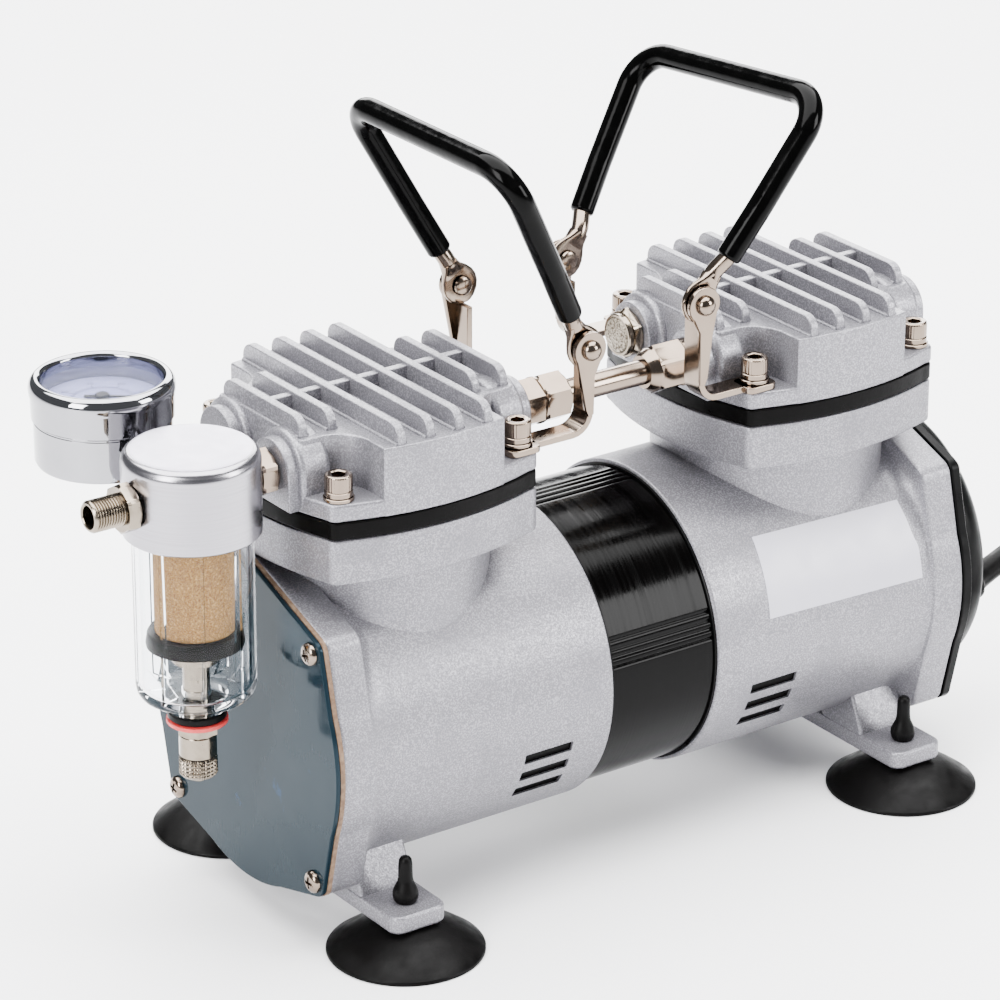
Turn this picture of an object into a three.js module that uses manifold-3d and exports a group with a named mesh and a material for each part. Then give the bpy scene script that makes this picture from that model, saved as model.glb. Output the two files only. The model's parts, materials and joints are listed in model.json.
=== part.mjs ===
// Oil-free twin-cylinder piston vacuum pump with a driven shaft between two crankcases.
// Millimetres, +Z up. X runs along the motor shaft: the filter end is at -X, the cord end at +X.
// Everything is drawn about the point on the floor midway between the two feet castings,
// and the whole pump is shifted at the end so that its footprint's middle is the origin.

import * as THREE from 'three';
import { mergeVertices } from 'three/addons/utils/BufferGeometryUtils.js';
import Module from 'manifold-3d';

const wasm = await Module();
wasm.setup();

// Driving dimensions -----------------------------------------------------------------------

const GAP = 0.3; // clearance kept between neighbouring pieces
const CUT = 1; // how far a cutting tool runs past the face that it opens

const SHAFT_Z = 63.3; // height of the motor shaft
const BARREL_R = 50;
const CAVITY_R = 44; // inside of the crankcase and motor barrels
const NECK_R = 37.5; // upright neck that carries each cylinder
const DECK = { bottom: 120.05, top: 134.25 };
const VALVE_PLATE = { bottom: DECK.top + GAP, top: 139.95 };
const HEAD = { bottom: 140.25, flangeTop: 145.8, roof: 162, finTop: 168, halfWidth: 38.5 };
const PORT = { y: 15, z: 151.5, bossR: 12, face: 44, bore: 5.2, thread: 4.6 };
const OUTLINE = { halfX: 36.5, halfY: 37.5, bulge: 7, corner: 3 };
const HEAD_BOLT = { x: 32.2, y: 33.7, shankR: 2.5, headR: 4.25, headBottom: 149.2, headTop: 154.2 };

// The two crankcase units face away from each other, so the rear one is turned half round.
const UNITS = {
  front: { x: -77, turn: 0, joint: 57.9, end: 43, foot: 20.8, phase: 1, ports: [[-1, -1], [1, -1], [1, 1]] },
  rear: { x: 78, turn: Math.PI, joint: 56.2, end: 42, foot: 19.8, phase: -1, ports: [[1, 1], [1, -1]] },
};

const BORE_R = 21; // cylinder bore
const CYLINDER = { wall: 2, bottom: 106 };
const THROW = 5; // crank radius, half of the stroke
const PISTON = { r: 15.6, top: 132.5, thick: 6 };
const ROD_EYE = { r: 17.5, bore: 12.8, width: 10 };
const CRANK_R = 12.5;
const COUNTERWEIGHT_R = 28;
const SHAFT_R = 6;
const STATOR = { r: 48.2, bore: 25.7, lap: 4.7 }; // lap is how far it enters each barrel
const ROTOR_R = 25;
const FAN_R = 24.5;

const FOOT = { armWidth: 19.8, armBottom: 10.5, tabTop: 16.3, tabReach: 59.5, y: 50.6, rimR: 24.5 };
const FLANGE = { roundR: 52, cornerR: 5, cornerY: 38.8, cornerZ: 37.8, apexZ: 56, depth: 12 };
const END_PLATE = { gasket: 1.5, thick: 1.6 };
const COVER = { rim: 3.5, wall: 2.5, drumR: 48, edgeR: 10, depth: 17, crown: 3 };

const TUBE = { r: 4, bore: 3.1 };
const FILTER = { x: -148.3, capR: 20.7, capBottom: 138.8, capTop: 165.3, bowlR: 18.1, bowlBottom: 87.5 };
const GAUGE = { y: 35, r: 21, bezelR: 21.8, bottom: 145.5, seam: 163.5, top: 169.5, glassR: 18.3 };
const NEEDLE_TURN = THREE.MathUtils.degToRad(-35.3);

const HANDLE = { rodR: 2.75, gripR: 3.9, gripBore: 3.15, eyeR: 6.2, eyeThick: 2.2, eyeY: 34.95 };
const HANDLE_PROFILE = { start: [36.35, 15.5], kink: [39.1, 31.7], corner: [44.4, 70.9], bend: 10 };
const BRACKET = { strip: 9.5, thick: 2, web: 8, outerY: 38.5, cheek: 1.8, eyeR: 6, rivetR: 2 };
const HANDLES = {
  front: { hinge: [-19.5, 0, 173.5], axis: [0, 1, 0], lean: -26.7, drop: 2.1 },
  rear: { hinge: [22.5, 0, 176], axis: [-0.038, 1, -0.078], lean: 36.6, drop: -1.4 },
};

const CORD = { r: 3.5, pitch: 7, turnR: [32, 46] };
const RELIEF = { root: [137, -34.8, 55], end: [161, -29.1, 59.4], rootR: 5.6 };
const CORD_ROUTE = [
  [161.3, -29, 59.45], [167, -27.7, 60.3], [173, -26.4, 60.6], [179, -25.2, 60], [185, -24.2, 58],
  [190.5, -23.4, 54.6], [195, -22.9, 50], [198.8, -22.5, 44.5], [202, -22.3, 38.5], [205, -22.1, 32],
  [208, -22, 25.6], [211.4, -22, 19.4], [215.5, -22, 13.6], [220.6, -22, 8.9], [226.5, -22, 5.6],
  [233, -22, 3.9], [239.5, -22, 3.5], [244.5, -22, 3.5],
];
const COIL_CENTRE = [271, -68];
const PLUG = { thick: 17, width: 34, length: 30, tail: 18, pinR: 2, pinLength: 19, pinSpacing: 19 };

// Materials --------------------------------------------------------------------------------

function finish(color, roughness, metalness) {
  return new THREE.MeshStandardMaterial({ color, roughness, metalness });
}

const SILVER_PAINT = () => finish(0xb9b9c4, 0.5, 0.35);
const NICKEL = () => finish(0xc9b8a4, 0.22, 1);
const BLACK_RUBBER = () => finish(0x1b1b1c, 0.75, 0);
const BLACK_GLOSS = () => finish(0x101012, 0.25, 0.1);
const BLACK_PLASTIC = () => finish(0x17171a, 0.45, 0);
const ZINC = () => finish(0x8f93a8, 0.35, 0.9);
const BRIGHT_ALUMINIUM = () => finish(0xc4c2c6, 0.3, 1);
const CHROME = () => finish(0xdedee2, 0.08, 1);
const STEEL = () => finish(0x9c9da1, 0.35, 1);
const BRONZE = () => finish(0x9a8a6c, 0.6, 0.8);
const COPPER = () => finish(0xa5642f, 0.4, 0.9);
const FIBRE = () => finish(0x6a4a2c, 0.9, 0);
const SINTERED = () => finish(0xc9a66b, 0.9, 0);
const CLEAR = () => finish(0xdfe6ea, 0.08, 0);
const NEEDLE_BLACK = () => finish(0x151515, 0.5, 0);

// Solid modelling --------------------------------------------------------------------------

function toSolid(geometry) {
  const bare = geometry.clone();
  bare.deleteAttribute('normal');
  bare.deleteAttribute('uv');
  const merged = mergeVertices(bare, 1e-4);
  const corners = merged.index.array;
  const triangles = [];
  for (let i = 0; i < corners.length; i += 3) {
    const [a, b, c] = [corners[i], corners[i + 1], corners[i + 2]];
    if (a !== b && b !== c && c !== a) triangles.push(a, b, c);
  }
  return new wasm.Manifold(new wasm.Mesh({
    numProp: 3,
    vertProperties: merged.attributes.position.array,
    triVerts: Uint32Array.from(triangles),
  }));
}

function toGeometry(solid) {
  const mesh = solid.getMesh();
  const geometry = new THREE.BufferGeometry();
  geometry.setAttribute('position', new THREE.BufferAttribute(mesh.vertProperties, 3));
  geometry.setIndex(new THREE.BufferAttribute(mesh.triVerts, 1));
  geometry.computeVertexNormals();
  return geometry;
}

function join(...solids) {
  return solids.reduce((whole, solid) => whole.add(solid));
}

function cut(solid, ...tools) {
  return tools.reduce((rest, tool) => rest.subtract(tool), solid);
}

function block([x0, x1], [y0, y1], [z0, z1]) {
  const geometry = new THREE.BoxGeometry(x1 - x0, y1 - y0, z1 - z0);
  return toSolid(geometry.translate((x0 + x1) / 2, (y0 + y1) / 2, (z0 + z1) / 2));
}

// A cylinder or cone frustum along an axis. The centre is given in the axis's other two coordinates.
function rod(axis, radius, from, to, centre = [0, 0], sides = 20, endRadius = radius) {
  const geometry = new THREE.CylinderGeometry(endRadius, radius, to - from, sides);
  geometry.translate(0, (from + to) / 2, 0);
  if (axis === 'x') geometry.rotateZ(-Math.PI / 2).translate(0, centre[0], centre[1]);
  if (axis === 'y') geometry.translate(centre[0], 0, centre[1]);
  if (axis === 'z') geometry.rotateX(Math.PI / 2).translate(centre[0], centre[1], 0);
  return toSolid(geometry);
}

// An outline pushed along an axis: drawn in YZ for x, in XZ for y and in XY for z.
function prism(axis, shape, from, to, curveSegments = 3) {
  const geometry = new THREE.ExtrudeGeometry(shape, { depth: to - from, bevelEnabled: false, curveSegments });
  if (axis === 'x') geometry.rotateX(Math.PI / 2).rotateZ(Math.PI / 2).translate(from, 0, 0);
  if (axis === 'y') geometry.rotateX(Math.PI / 2).translate(0, to, 0);
  if (axis === 'z') geometry.translate(0, 0, from);
  return toSolid(geometry);
}

// A turned shape about the Z axis, from [radius, height] pairs listed from the bottom up.
function turned(profile, sides = 20) {
  const points = profile.map(([radius, height]) => new THREE.Vector2(radius, height));
  return toSolid(new THREE.LatheGeometry(points, sides).rotateX(Math.PI / 2));
}

function polygon(points) {
  return new THREE.Shape(points.map(([a, b]) => new THREE.Vector2(a, b)));
}

function sweep(curve, radius, steps, sides = 8, bore = 0) {
  const section = new THREE.Shape().absarc(0, 0, radius, 0, 2 * Math.PI);
  if (bore) section.holes.push(new THREE.Path().absarc(0, 0, bore, 0, 2 * Math.PI, true));
  return toSolid(new THREE.ExtrudeGeometry(section, { extrudePath: curve, steps, curveSegments: sides / 2 }));
}

// The scene --------------------------------------------------------------------------------

const pump = new THREE.Group();
const units = {};
for (const [end, unit] of Object.entries(UNITS)) {
  units[end] = new THREE.Group();
  units[end].position.x = unit.x;
  units[end].rotation.z = unit.turn;
  pump.add(units[end]);
}

function piece(parent, name, solid, material) {
  const mesh = new THREE.Mesh(toGeometry(solid), material);
  mesh.name = name;
  parent.add(mesh);
  return mesh;
}

// Cylinder heads: valve plate, head and bolts ------------------------------------------------

// Each side of the square flange bulges outwards, and its four corners are rounded.
function flangeShape() {
  const { halfX, halfY, bulge, corner } = OUTLINE;
  const sideX = halfX + bulge * (1 - ((halfY - corner) / halfY) ** 2);
  const sideY = halfY + bulge * (1 - ((halfX - corner) / halfX) ** 2);
  const farX = 2 * (halfX + bulge) - sideX;
  const farY = 2 * (halfY + bulge) - sideY;
  const [y, x] = [halfY - corner, halfX - corner];
  const shape = new THREE.Shape();
  shape.moveTo(sideX, -y);
  shape.quadraticCurveTo(farX, 0, sideX, y);
  shape.quadraticCurveTo(sideX - 0.5, sideY - 0.5, x, sideY);
  shape.quadraticCurveTo(0, farY, -x, sideY);
  shape.quadraticCurveTo(0.5 - sideX, sideY - 0.5, -sideX, y);
  shape.quadraticCurveTo(-farX, 0, -sideX, -y);
  shape.quadraticCurveTo(0.5 - sideX, 0.5 - sideY, -x, -sideY);
  shape.quadraticCurveTo(0, -farY, x, -sideY);
  shape.quadraticCurveTo(sideX - 0.5, 0.5 - sideY, sideX, -y);
  return shape;
}

function boltPlaces() {
  const { x, y } = HEAD_BOLT;
  return [[-x, -y], [x, -y], [x, y], [-x, y]];
}

function boltHoles(bottom, top) {
  return boltPlaces().map((place) => rod('z', HEAD_BOLT.shankR + GAP, bottom, top, place, 8));
}

function valvePlate() {
  const plate = prism('z', flangeShape(), VALVE_PLATE.bottom, VALVE_PLATE.top);
  const valves = [-9, 9].flatMap((x) => [-8, 8].map(
    (y) => rod('z', 3, VALVE_PLATE.bottom - CUT, VALVE_PLATE.top + CUT, [x, y], 6),
  ));
  return cut(plate, ...boltHoles(VALVE_PLATE.bottom - CUT, VALVE_PLATE.top + CUT), ...valves);
}

// Pockets cut down to the flange leave room round each bolt head.
function boltPocket([x, y]) {
  const r = 11;
  const [sx, sy] = [Math.sign(x), Math.sign(y)];
  const round = rod('z', r, HEAD.flangeTop, HEAD.finTop + CUT, [x, y], 12);
  const height = [HEAD.flangeTop, HEAD.finTop + CUT];
  const side = block([x, x + sx * 20].sort((a, b) => a - b), [y - r, y + r], height);
  const end = block([x - r, x + r], [y, y + sy * 20].sort((a, b) => a - b), height);
  return join(round, side, end);
}

function fin(x, reach) {
  const [thick, round] = [3.5, 4.5];
  const side = new THREE.Shape();
  side.moveTo(-reach, HEAD.roof - CUT);
  side.lineTo(reach, HEAD.roof - CUT);
  side.lineTo(reach, HEAD.finTop - round);
  side.absarc(reach - round, HEAD.finTop - round, round, 0, Math.PI / 2);
  side.absarc(round - reach, HEAD.finTop - round, round, Math.PI / 2, Math.PI);
  return prism('x', side, x - thick / 2, x + thick / 2, 1);
}

function portBoss(side, row) {
  const { y, z, bossR, face } = PORT;
  const [from, to] = side > 0 ? [30, face] : [-face, -30];
  const boss = rod('x', bossR, from, to, [row * y, z], 16);
  const skirt = block([from, to], [row * y - bossR, row * y + bossR], [HEAD.bottom, z]);
  return cut(join(boss, skirt), block([-60, 60], [-60, 60], [HEAD.bottom - 20, HEAD.bottom]));
}

function portBore([side, row]) {
  const [from, to] = side > 0 ? [20, PORT.face + CUT] : [-PORT.face - CUT, -20];
  return rod('x', PORT.bore, from, to, [row * PORT.y, PORT.z], 8);
}

function head(ports) {
  const finX = [5.15, 15.5, 25.8, 36];
  const chamber = (row) => block([-24, 24], row > 0 ? [2, 24] : [-24, -2], [HEAD.bottom - CUT, 157]);
  const walls = block([-HEAD.halfWidth, HEAD.halfWidth], [-60, 60], [HEAD.flangeTop - CUT, HEAD.roof]);
  let solid = prism('z', flangeShape(), HEAD.flangeTop - CUT, HEAD.roof).intersect(walls);
  solid = join(solid, ...finX.flatMap((x, i) => [fin(x, i < 2 ? 42 : 21), fin(-x, i < 2 ? 42 : 21)]));
  solid = join(solid, block([-35, 35], [-1.75, 1.75], [HEAD.roof - CUT, HEAD.finTop]));
  solid = cut(solid, ...boltPlaces().map(boltPocket));
  solid = join(solid, prism('z', flangeShape(), HEAD.bottom, HEAD.flangeTop));
  solid = join(solid, ...[-1, 1].flatMap((side) => [portBoss(side, -1), portBoss(side, 1)]));
  solid = cut(solid, ...boltHoles(HEAD.bottom - CUT, HEAD.flangeTop + CUT));
  return cut(solid, chamber(-1), chamber(1), ...ports.map(portBore));
}

// A socket-head screw with its lock washer and flat washer, drawn about its own axis.
function headBolt() {
  const { shankR, headR, headBottom, headTop } = HEAD_BOLT;
  const tip = 123;
  const seat = HEAD.flangeTop + GAP;
  const body = turned([
    [0, tip], [shankR, tip], [shankR, seat], [5, seat], [5, seat + 1.1],
    [4.4, seat + 1.1], [4.4, headBottom], [headR, headBottom], [headR, headTop], [0, headTop],
  ], 10);
  return cut(body, rod('z', 2.3, headTop - 3, headTop + CUT, [0, 0], 6));
}

// Housings ---------------------------------------------------------------------------------

// End flange: the hull of the barrel's circle, four screw corners and a low roof ridge.
function endFlangeShape() {
  const { roundR, cornerR, cornerY, cornerZ, apexZ } = FLANGE;
  const points = [];
  const arc = (cy, cz, r, from, to, steps) => {
    for (let i = 0; i <= steps; i += 1) {
      const angle = THREE.MathUtils.degToRad(from + ((to - from) * i) / steps);
      points.push([cy + r * Math.cos(angle), SHAFT_Z + cz + r * Math.sin(angle)]);
    }
  };
  arc(0, 0, roundR, -22, 22, 3);
  arc(cornerY, cornerZ, cornerR, 22, 68, 1);
  points.push([0, SHAFT_Z + apexZ]);
  arc(-cornerY, cornerZ, cornerR, 112, 158, 1);
  arc(0, 0, roundR, 158, 202, 3);
  arc(-cornerY, -cornerZ, cornerR, 202, 248, 1);
  arc(0, 0, roundR, 248, 292, 3);
  arc(cornerY, -cornerZ, cornerR, 292, 338, 1);
  return polygon(points);
}

function cornerHoles(from, to, radius) {
  const { cornerY, cornerZ } = FLANGE;
  return [-1, 1].flatMap((y) => [-1, 1].map(
    (z) => rod('x', radius, from, to, [y * cornerY, SHAFT_Z + z * cornerZ], 6),
  ));
}

// The foot arm is one bar across the casting, with gussets that rise into the barrel.
function footArm(centre) {
  const { armWidth, armBottom, tabTop, tabReach, y } = FOOT;
  const half = [[tabReach, armBottom], [tabReach, tabTop], [40.5, tabTop], [35.5, 28], [30, 40]];
  const profile = polygon([...half, ...half.map(([a, b]) => [-a, b]).reverse()]);
  const bar = prism('x', profile, centre - armWidth / 2, centre + armWidth / 2);
  const round = 4;
  const plan = new THREE.Shape();
  const [x, reach] = [armWidth / 2, tabReach];
  plan.absarc(x - round, reach - round, round, 0, Math.PI / 2);
  plan.absarc(round - x, reach - round, round, Math.PI / 2, Math.PI);
  plan.absarc(round - x, round - reach, round, Math.PI, 1.5 * Math.PI);
  plan.absarc(x - round, round - reach, round, 1.5 * Math.PI, 2 * Math.PI);
  const trimmed = bar.intersect(prism('z', plan, 0, 60, 2).translate([centre, 0, 0]));
  return cut(trimmed, ...[-y, y].map((place) => rod('z', 3.3, 0, 20, [centre, place], 10)));
}

// Three cooling slots low on each side of the motor end.
function louvres(joint) {
  const slots = [];
  for (const side of [-1, 1]) {
    for (const [y, z] of [[47.6, 49.6], [45.4, 42.8], [41.6, 36]]) {
      const from = Math.min(side * (y - 8), side * (y + 8));
      slots.push(block([joint - 32.5, joint - 14.5], [from, from + 16], [z - 1.9, z + 1.9]));
    }
  }
  return slots;
}

function housing({ joint, end, foot }) {
  const wall = { from: 25, to: 37 };
  const axis = [0, SHAFT_Z];
  const barrel = rod('x', BARREL_R, CUT - end, joint, axis, 32);
  const flange = prism('x', endFlangeShape(), -end, FLANGE.depth - end);
  const seat = rod('z', NECK_R + GAP, SHAFT_Z, DECK.bottom + CUT, [0, 0], 24);
  let solid = join(barrel, flange, footArm(-foot));
  solid = cut(solid, cut(seat, rod('x', CAVITY_R - CUT, -60, 60, axis, 24)));
  solid = cut(solid, rod('x', CAVITY_R, -end - CUT, wall.from, axis, 24));
  solid = cut(solid, rod('x', CAVITY_R, wall.to, joint + CUT, axis, 24));
  solid = cut(solid, rod('x', STATOR.r + GAP, joint - STATOR.lap - GAP, joint + CUT, axis, 32));
  solid = cut(solid, rod('x', SHAFT_R + GAP, wall.from - CUT, wall.to + CUT, axis, 16), ...louvres(joint));
  return cut(solid, ...cornerHoles(-end - CUT, -end + 9, 1.8));
}

// The neck stands in a round seat in the barrel's wall and carries the deck under the valve plate.
function deck() {
  const neck = rod('z', NECK_R, SHAFT_Z, DECK.bottom + CUT, [0, 0], 24);
  const plate = prism('z', flangeShape(), DECK.bottom, DECK.top);
  return cut(
    join(neck, plate),
    rod('x', CAVITY_R + GAP, -60, 60, [0, SHAFT_Z], 24),
    rod('z', BORE_R + CYLINDER.wall + GAP, SHAFT_Z, DECK.top + CUT, [0, 0], 20),
    ...boltHoles(122, DECK.top + CUT),
  );
}

function cylinderSleeve() {
  const outer = rod('z', BORE_R + CYLINDER.wall, CYLINDER.bottom, DECK.top - GAP / 2, [0, 0], 20);
  return cut(outer, rod('z', BORE_R, CYLINDER.bottom - CUT, DECK.top + CUT, [0, 0], 20));
}

// A rubber suction cup with a nipple that is pulled up through the hole in the foot tab.
function suctionFoot() {
  return turned([
    [0, 5.2], [12, 4.6], [22.8, 0], [FOOT.rimR, 0], [FOOT.rimR, 1.2], [19, 5.6], [9, 9.8], [3, 10.2],
    [3, 16.6], [3.8, 17.6], [3.8, 20.4], [2.25, 23.6], [2.25, 30], [0, 31.7],
  ], 14);
}

// Moving parts, drawn about the shaft's axis at the unit's middle ----------------------------

function crank(phase) {
  const top = SHAFT_Z + phase * THROW;
  const eccentric = rod('x', CRANK_R, -7, 16, [0, top], 16);
  const half = phase > 0 ? [SHAFT_Z - 40, SHAFT_Z] : [SHAFT_Z, SHAFT_Z + 40];
  const disc = rod('x', COUNTERWEIGHT_R, 8, 16, [0, SHAFT_Z], 20);
  const weight = disc.intersect(block([8, 16], [-40, 40], half));
  return cut(join(eccentric, weight), rod('x', SHAFT_R + GAP, -10, 20, [0, SHAFT_Z], 16));
}

// The piston is one piece with its rod. Its top stands lower by the stroke at the other dead centre.
function pistonRod(phase) {
  const pin = SHAFT_Z + phase * THROW;
  const top = PISTON.top + (phase - 1) * THROW;
  const { r, bore, width } = ROD_EYE;
  const eye = rod('x', r, -width / 2, width / 2, [0, pin], 16);
  const shank = block([-4, 4], [-5.5, 5.5], [pin + r - 2, top - PISTON.thick + CUT]);
  const piston = rod('z', PISTON.r, top - PISTON.thick, top, [0, 0], 18);
  return cut(join(eye, shank, piston), rod('x', bore, -width, width, [0, pin], 16));
}

function crankcaseUnits() {
  for (const [end, unit] of Object.entries(UNITS)) {
    const group = units[end];
    piece(group, `${end}_housing`, housing(unit), SILVER_PAINT());
    piece(group, `${end}_deck`, deck(), SILVER_PAINT());
    piece(group, `${end}_cylinder`, cylinderSleeve(), STEEL());
    piece(group, `${end}_valve_plate`, valvePlate(), BLACK_GLOSS());
    piece(group, `${end}_head`, head(unit.ports), SILVER_PAINT());
    piece(group, `${end}_crank`, crank(unit.phase), STEEL());
    piece(group, `${end}_piston_rod`, pistonRod(unit.phase), BRIGHT_ALUMINIUM());
    boltPlaces().forEach(([x, y], i) => {
      const bolt = piece(group, `${end}_head_bolt_${i + 1}`, headBolt(), NICKEL());
      const underBracket = x > 0;
      bolt.position.set(x, y, underBracket ? BRACKET.thick + GAP : 0);
    });
    [-1, 1].forEach((side, i) => {
      const foot = piece(group, `${end}_suction_foot_${i + 1}`, suctionFoot(), BLACK_RUBBER());
      foot.position.set(-unit.foot, side * FOOT.y, 0);
    });
  }
}

// Motor ------------------------------------------------------------------------------------

const MOTOR = {
  from: UNITS.front.x + UNITS.front.joint - STATOR.lap,
  to: UNITS.rear.x - UNITS.rear.joint + STATOR.lap,
};
const COIL_BARS = 6;

function windingBars(r0, r1, halfWidth, from, to) {
  const bars = [];
  for (let i = 0; i < COIL_BARS; i += 1) {
    const bar = block([from, to], [-halfWidth, halfWidth], [r0, r1]);
    bars.push(bar.rotate([(i * 360) / COIL_BARS, 0, 0]).translate([0, 0, SHAFT_Z]));
  }
  return bars;
}

function ring(outer, inner, from, to) {
  const axis = [0, SHAFT_Z];
  return cut(rod('x', outer, from, to, axis, 32), rod('x', inner, from - CUT, to + CUT, axis, 20));
}

function motor() {
  const { from, to } = MOTOR;
  const slots = windingBars(30 - GAP, 38 + GAP, 5 + GAP, from - CUT, to + CUT);
  const core = cut(ring(STATOR.r, STATOR.bore, from, to), ...slots);
  piece(pump, 'stator_core', core, BLACK_GLOSS());
  const coils = [ring(41, 28, from - 10, from - GAP), ring(41, 28, to + GAP, to + 10)];
  const winding = join(...coils, ...windingBars(30, 38, 5, from - 5, to + 5));
  piece(pump, 'stator_winding', winding, COPPER());
  const shaft = rod('x', SHAFT_R, UNITS.front.x - 9, UNITS.rear.x + 9, [0, SHAFT_Z], 16);
  piece(pump, 'motor_shaft', shaft, STEEL());
  piece(pump, 'rotor_core', ring(ROTOR_R, SHAFT_R + GAP, from + 1, to - 1), STEEL());
  piece(pump, 'cooling_fan', coolingFan(from - 14, from - 1), BLACK_PLASTIC());
}

function coolingFan(from, to) {
  const blades = [];
  const count = 8;
  for (let i = 0; i < count; i += 1) {
    const blade = block([from + 2, to], [-0.9, 0.9], [9, FAN_R]);
    blades.push(blade.rotate([(i * 360) / count, 0, 0]).translate([0, 0, SHAFT_Z]));
  }
  const hub = rod('x', 11, from, to, [0, SHAFT_Z], 16);
  const disc = rod('x', FAN_R, from, from + 2, [0, SHAFT_Z], 24);
  return cut(join(hub, disc, ...blades), rod('x', SHAFT_R + GAP, from - CUT, to + CUT, [0, SHAFT_Z], 16));
}

// End plate, gasket and cover ----------------------------------------------------------------

function endPlates() {
  const face = UNITS.front.x - UNITS.front.end;
  const { gasket, thick } = END_PLATE;
  const gasketRing = cut(
    prism('x', endFlangeShape(), face - gasket, face - GAP),
    rod('x', CAVITY_R - 1, face - 5, face + 1, [0, SHAFT_Z], 20),
    ...cornerHoles(face - 5, face + 1, 1.8),
  );
  piece(pump, 'end_plate_gasket', gasketRing, FIBRE());
  const outer = face - gasket - thick;
  const plate = prism('x', endFlangeShape(), outer, face - gasket - GAP);
  const screws = cornerHoles(outer - 2.2, face + 7, 1.5);
  const heads = cornerHoles(outer - 2.2, outer, 3.5);
  piece(pump, 'end_plate', join(plate, ...screws, ...heads), ZINC());
}

// The cover follows the flange's outline with its rim and bulges out in a shallow drum.
function endCover() {
  const face = UNITS.rear.x + UNITS.rear.end + GAP;
  const { rim, wall, drumR, edgeR, depth, crown } = COVER;
  const drum = (shrink) => {
    const r = drumR - shrink;
    const edge = edgeR - shrink;
    const [shoulder, flat] = [depth - edgeR, drumR - edgeR];
    const arc = [30, 65, 90].map((degrees) => {
      const angle = THREE.MathUtils.degToRad(degrees);
      return [flat + edge * Math.cos(angle), shoulder + edge * Math.sin(angle)];
    });
    const dome = [0.55, 0].map((t) => [flat * t, shoulder + edge + crown * (1 - t * t)]);
    return turned([[0, -shrink], [r, -shrink], [r, shoulder], ...arc, ...dome], 24);
  };
  const place = (solid) => solid.rotate([0, 90, 0]).translate([face, 0, SHAFT_Z]);
  const shell = join(prism('x', endFlangeShape(), face, face + rim), place(drum(0)));
  const cable = between(RELIEF.root, RELIEF.end, RELIEF.rootR + GAP, RELIEF.rootR + GAP, 16);
  const screws = cornerHoles(face - 8, face + 1, 1.5);
  const heads = cornerHoles(face + rim - 1, face + rim + 2.2, 3.5);
  return join(cut(shell, place(drum(wall)), cable), ...screws, ...heads);
}

// A cone frustum between two points, running before the first one by the given lead.
function between(start, end, startR, endR, lead = 0, sides = 12) {
  const [a, b] = [new THREE.Vector3(...start), new THREE.Vector3(...end)];
  const along = b.clone().sub(a);
  const length = along.length();
  const geometry = new THREE.CylinderGeometry(endR, startR, length + lead, sides);
  geometry.translate(0, (length - lead) / 2, 0);
  const turn = new THREE.Quaternion().setFromUnitVectors(new THREE.Vector3(0, 1, 0), along.normalize());
  geometry.applyQuaternion(turn).translate(a.x, a.y, a.z);
  return toSolid(geometry);
}

// Handles and their brackets -----------------------------------------------------------------

// Frame of a handle: x along its hinge, z up in its plane.
function handleFrame({ hinge, axis, lean }) {
  const along = new THREE.Vector3(...axis).normalize();
  const angle = THREE.MathUtils.degToRad(lean);
  const up = new THREE.Vector3(Math.sin(angle), 0, Math.cos(angle));
  up.addScaledVector(along, -up.dot(along)).normalize();
  const normal = new THREE.Vector3().crossVectors(up, along);
  return new THREE.Matrix4().makeBasis(along, normal, up).setPosition(...hinge);
}

// The grip runs up one leg, round two bends and down the other leg.
function gripCurve(drop) {
  const { start, kink, corner, bend } = HANDLE_PROFILE;
  const at = (a, b) => new THREE.Vector3(a, 0, b - drop);
  const leg = new THREE.Vector2(corner[0] - kink[0], corner[1] - kink[1]).normalize().multiplyScalar(bend);
  const path = new THREE.CurvePath();
  path.add(new THREE.LineCurve3(at(-start[0], start[1]), at(-kink[0], kink[1])));
  path.add(new THREE.LineCurve3(at(-kink[0], kink[1]), at(leg.x - corner[0], corner[1] - leg.y)));
  path.add(new THREE.QuadraticBezierCurve3(
    at(leg.x - corner[0], corner[1] - leg.y), at(-corner[0], corner[1]), at(bend - corner[0], corner[1]),
  ));
  path.add(new THREE.LineCurve3(at(bend - corner[0], corner[1]), at(corner[0] - bend, corner[1])));
  path.add(new THREE.QuadraticBezierCurve3(
    at(corner[0] - bend, corner[1]), at(corner[0], corner[1]), at(corner[0] - leg.x, corner[1] - leg.y),
  ));
  path.add(new THREE.LineCurve3(at(corner[0] - leg.x, corner[1] - leg.y), at(kink[0], kink[1])));
  path.add(new THREE.LineCurve3(at(kink[0], kink[1]), at(start[0], start[1])));
  return path;
}

function handle(end) {
  const spec = HANDLES[end];
  const frame = handleFrame(spec);
  const curve = gripCurve(spec.drop);
  const steps = 22;
  const { rodR, gripR, gripBore, eyeR, eyeThick, eyeY } = HANDLE;
  const [legA, legB] = [HANDLE_PROFILE.start[0], HANDLE_PROFILE.start[1] - spec.drop];
  let bar = sweep(curve, rodR, steps, 8);
  for (const side of [-1, 1]) {
    const inner = [side * eyeY, 0, 8];
    const outer = [side * legA, 0, legB];
    const [from, to] = [side * eyeY - eyeThick / 2, side * eyeY + eyeThick / 2];
    const flat = join(
      rod('x', eyeR, from, to, [0, 0], 12),
      block([from, to], [-3.4, 3.4], [0, 10]),
    );
    const eye = cut(flat, rod('x', 2.5, from - 1, to + 1, [0, 0], 8));
    bar = join(bar, between(inner, outer, rodR, rodR, 0, 8), eye);
  }
  piece(pump, `${end}_handle_rod`, bar, NICKEL()).applyMatrix4(frame);
  const grip = sweep(curve, gripR, steps, 8, gripBore);
  piece(pump, `${end}_handle_grip`, grip, BLACK_GLOSS()).applyMatrix4(frame);
}

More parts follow.
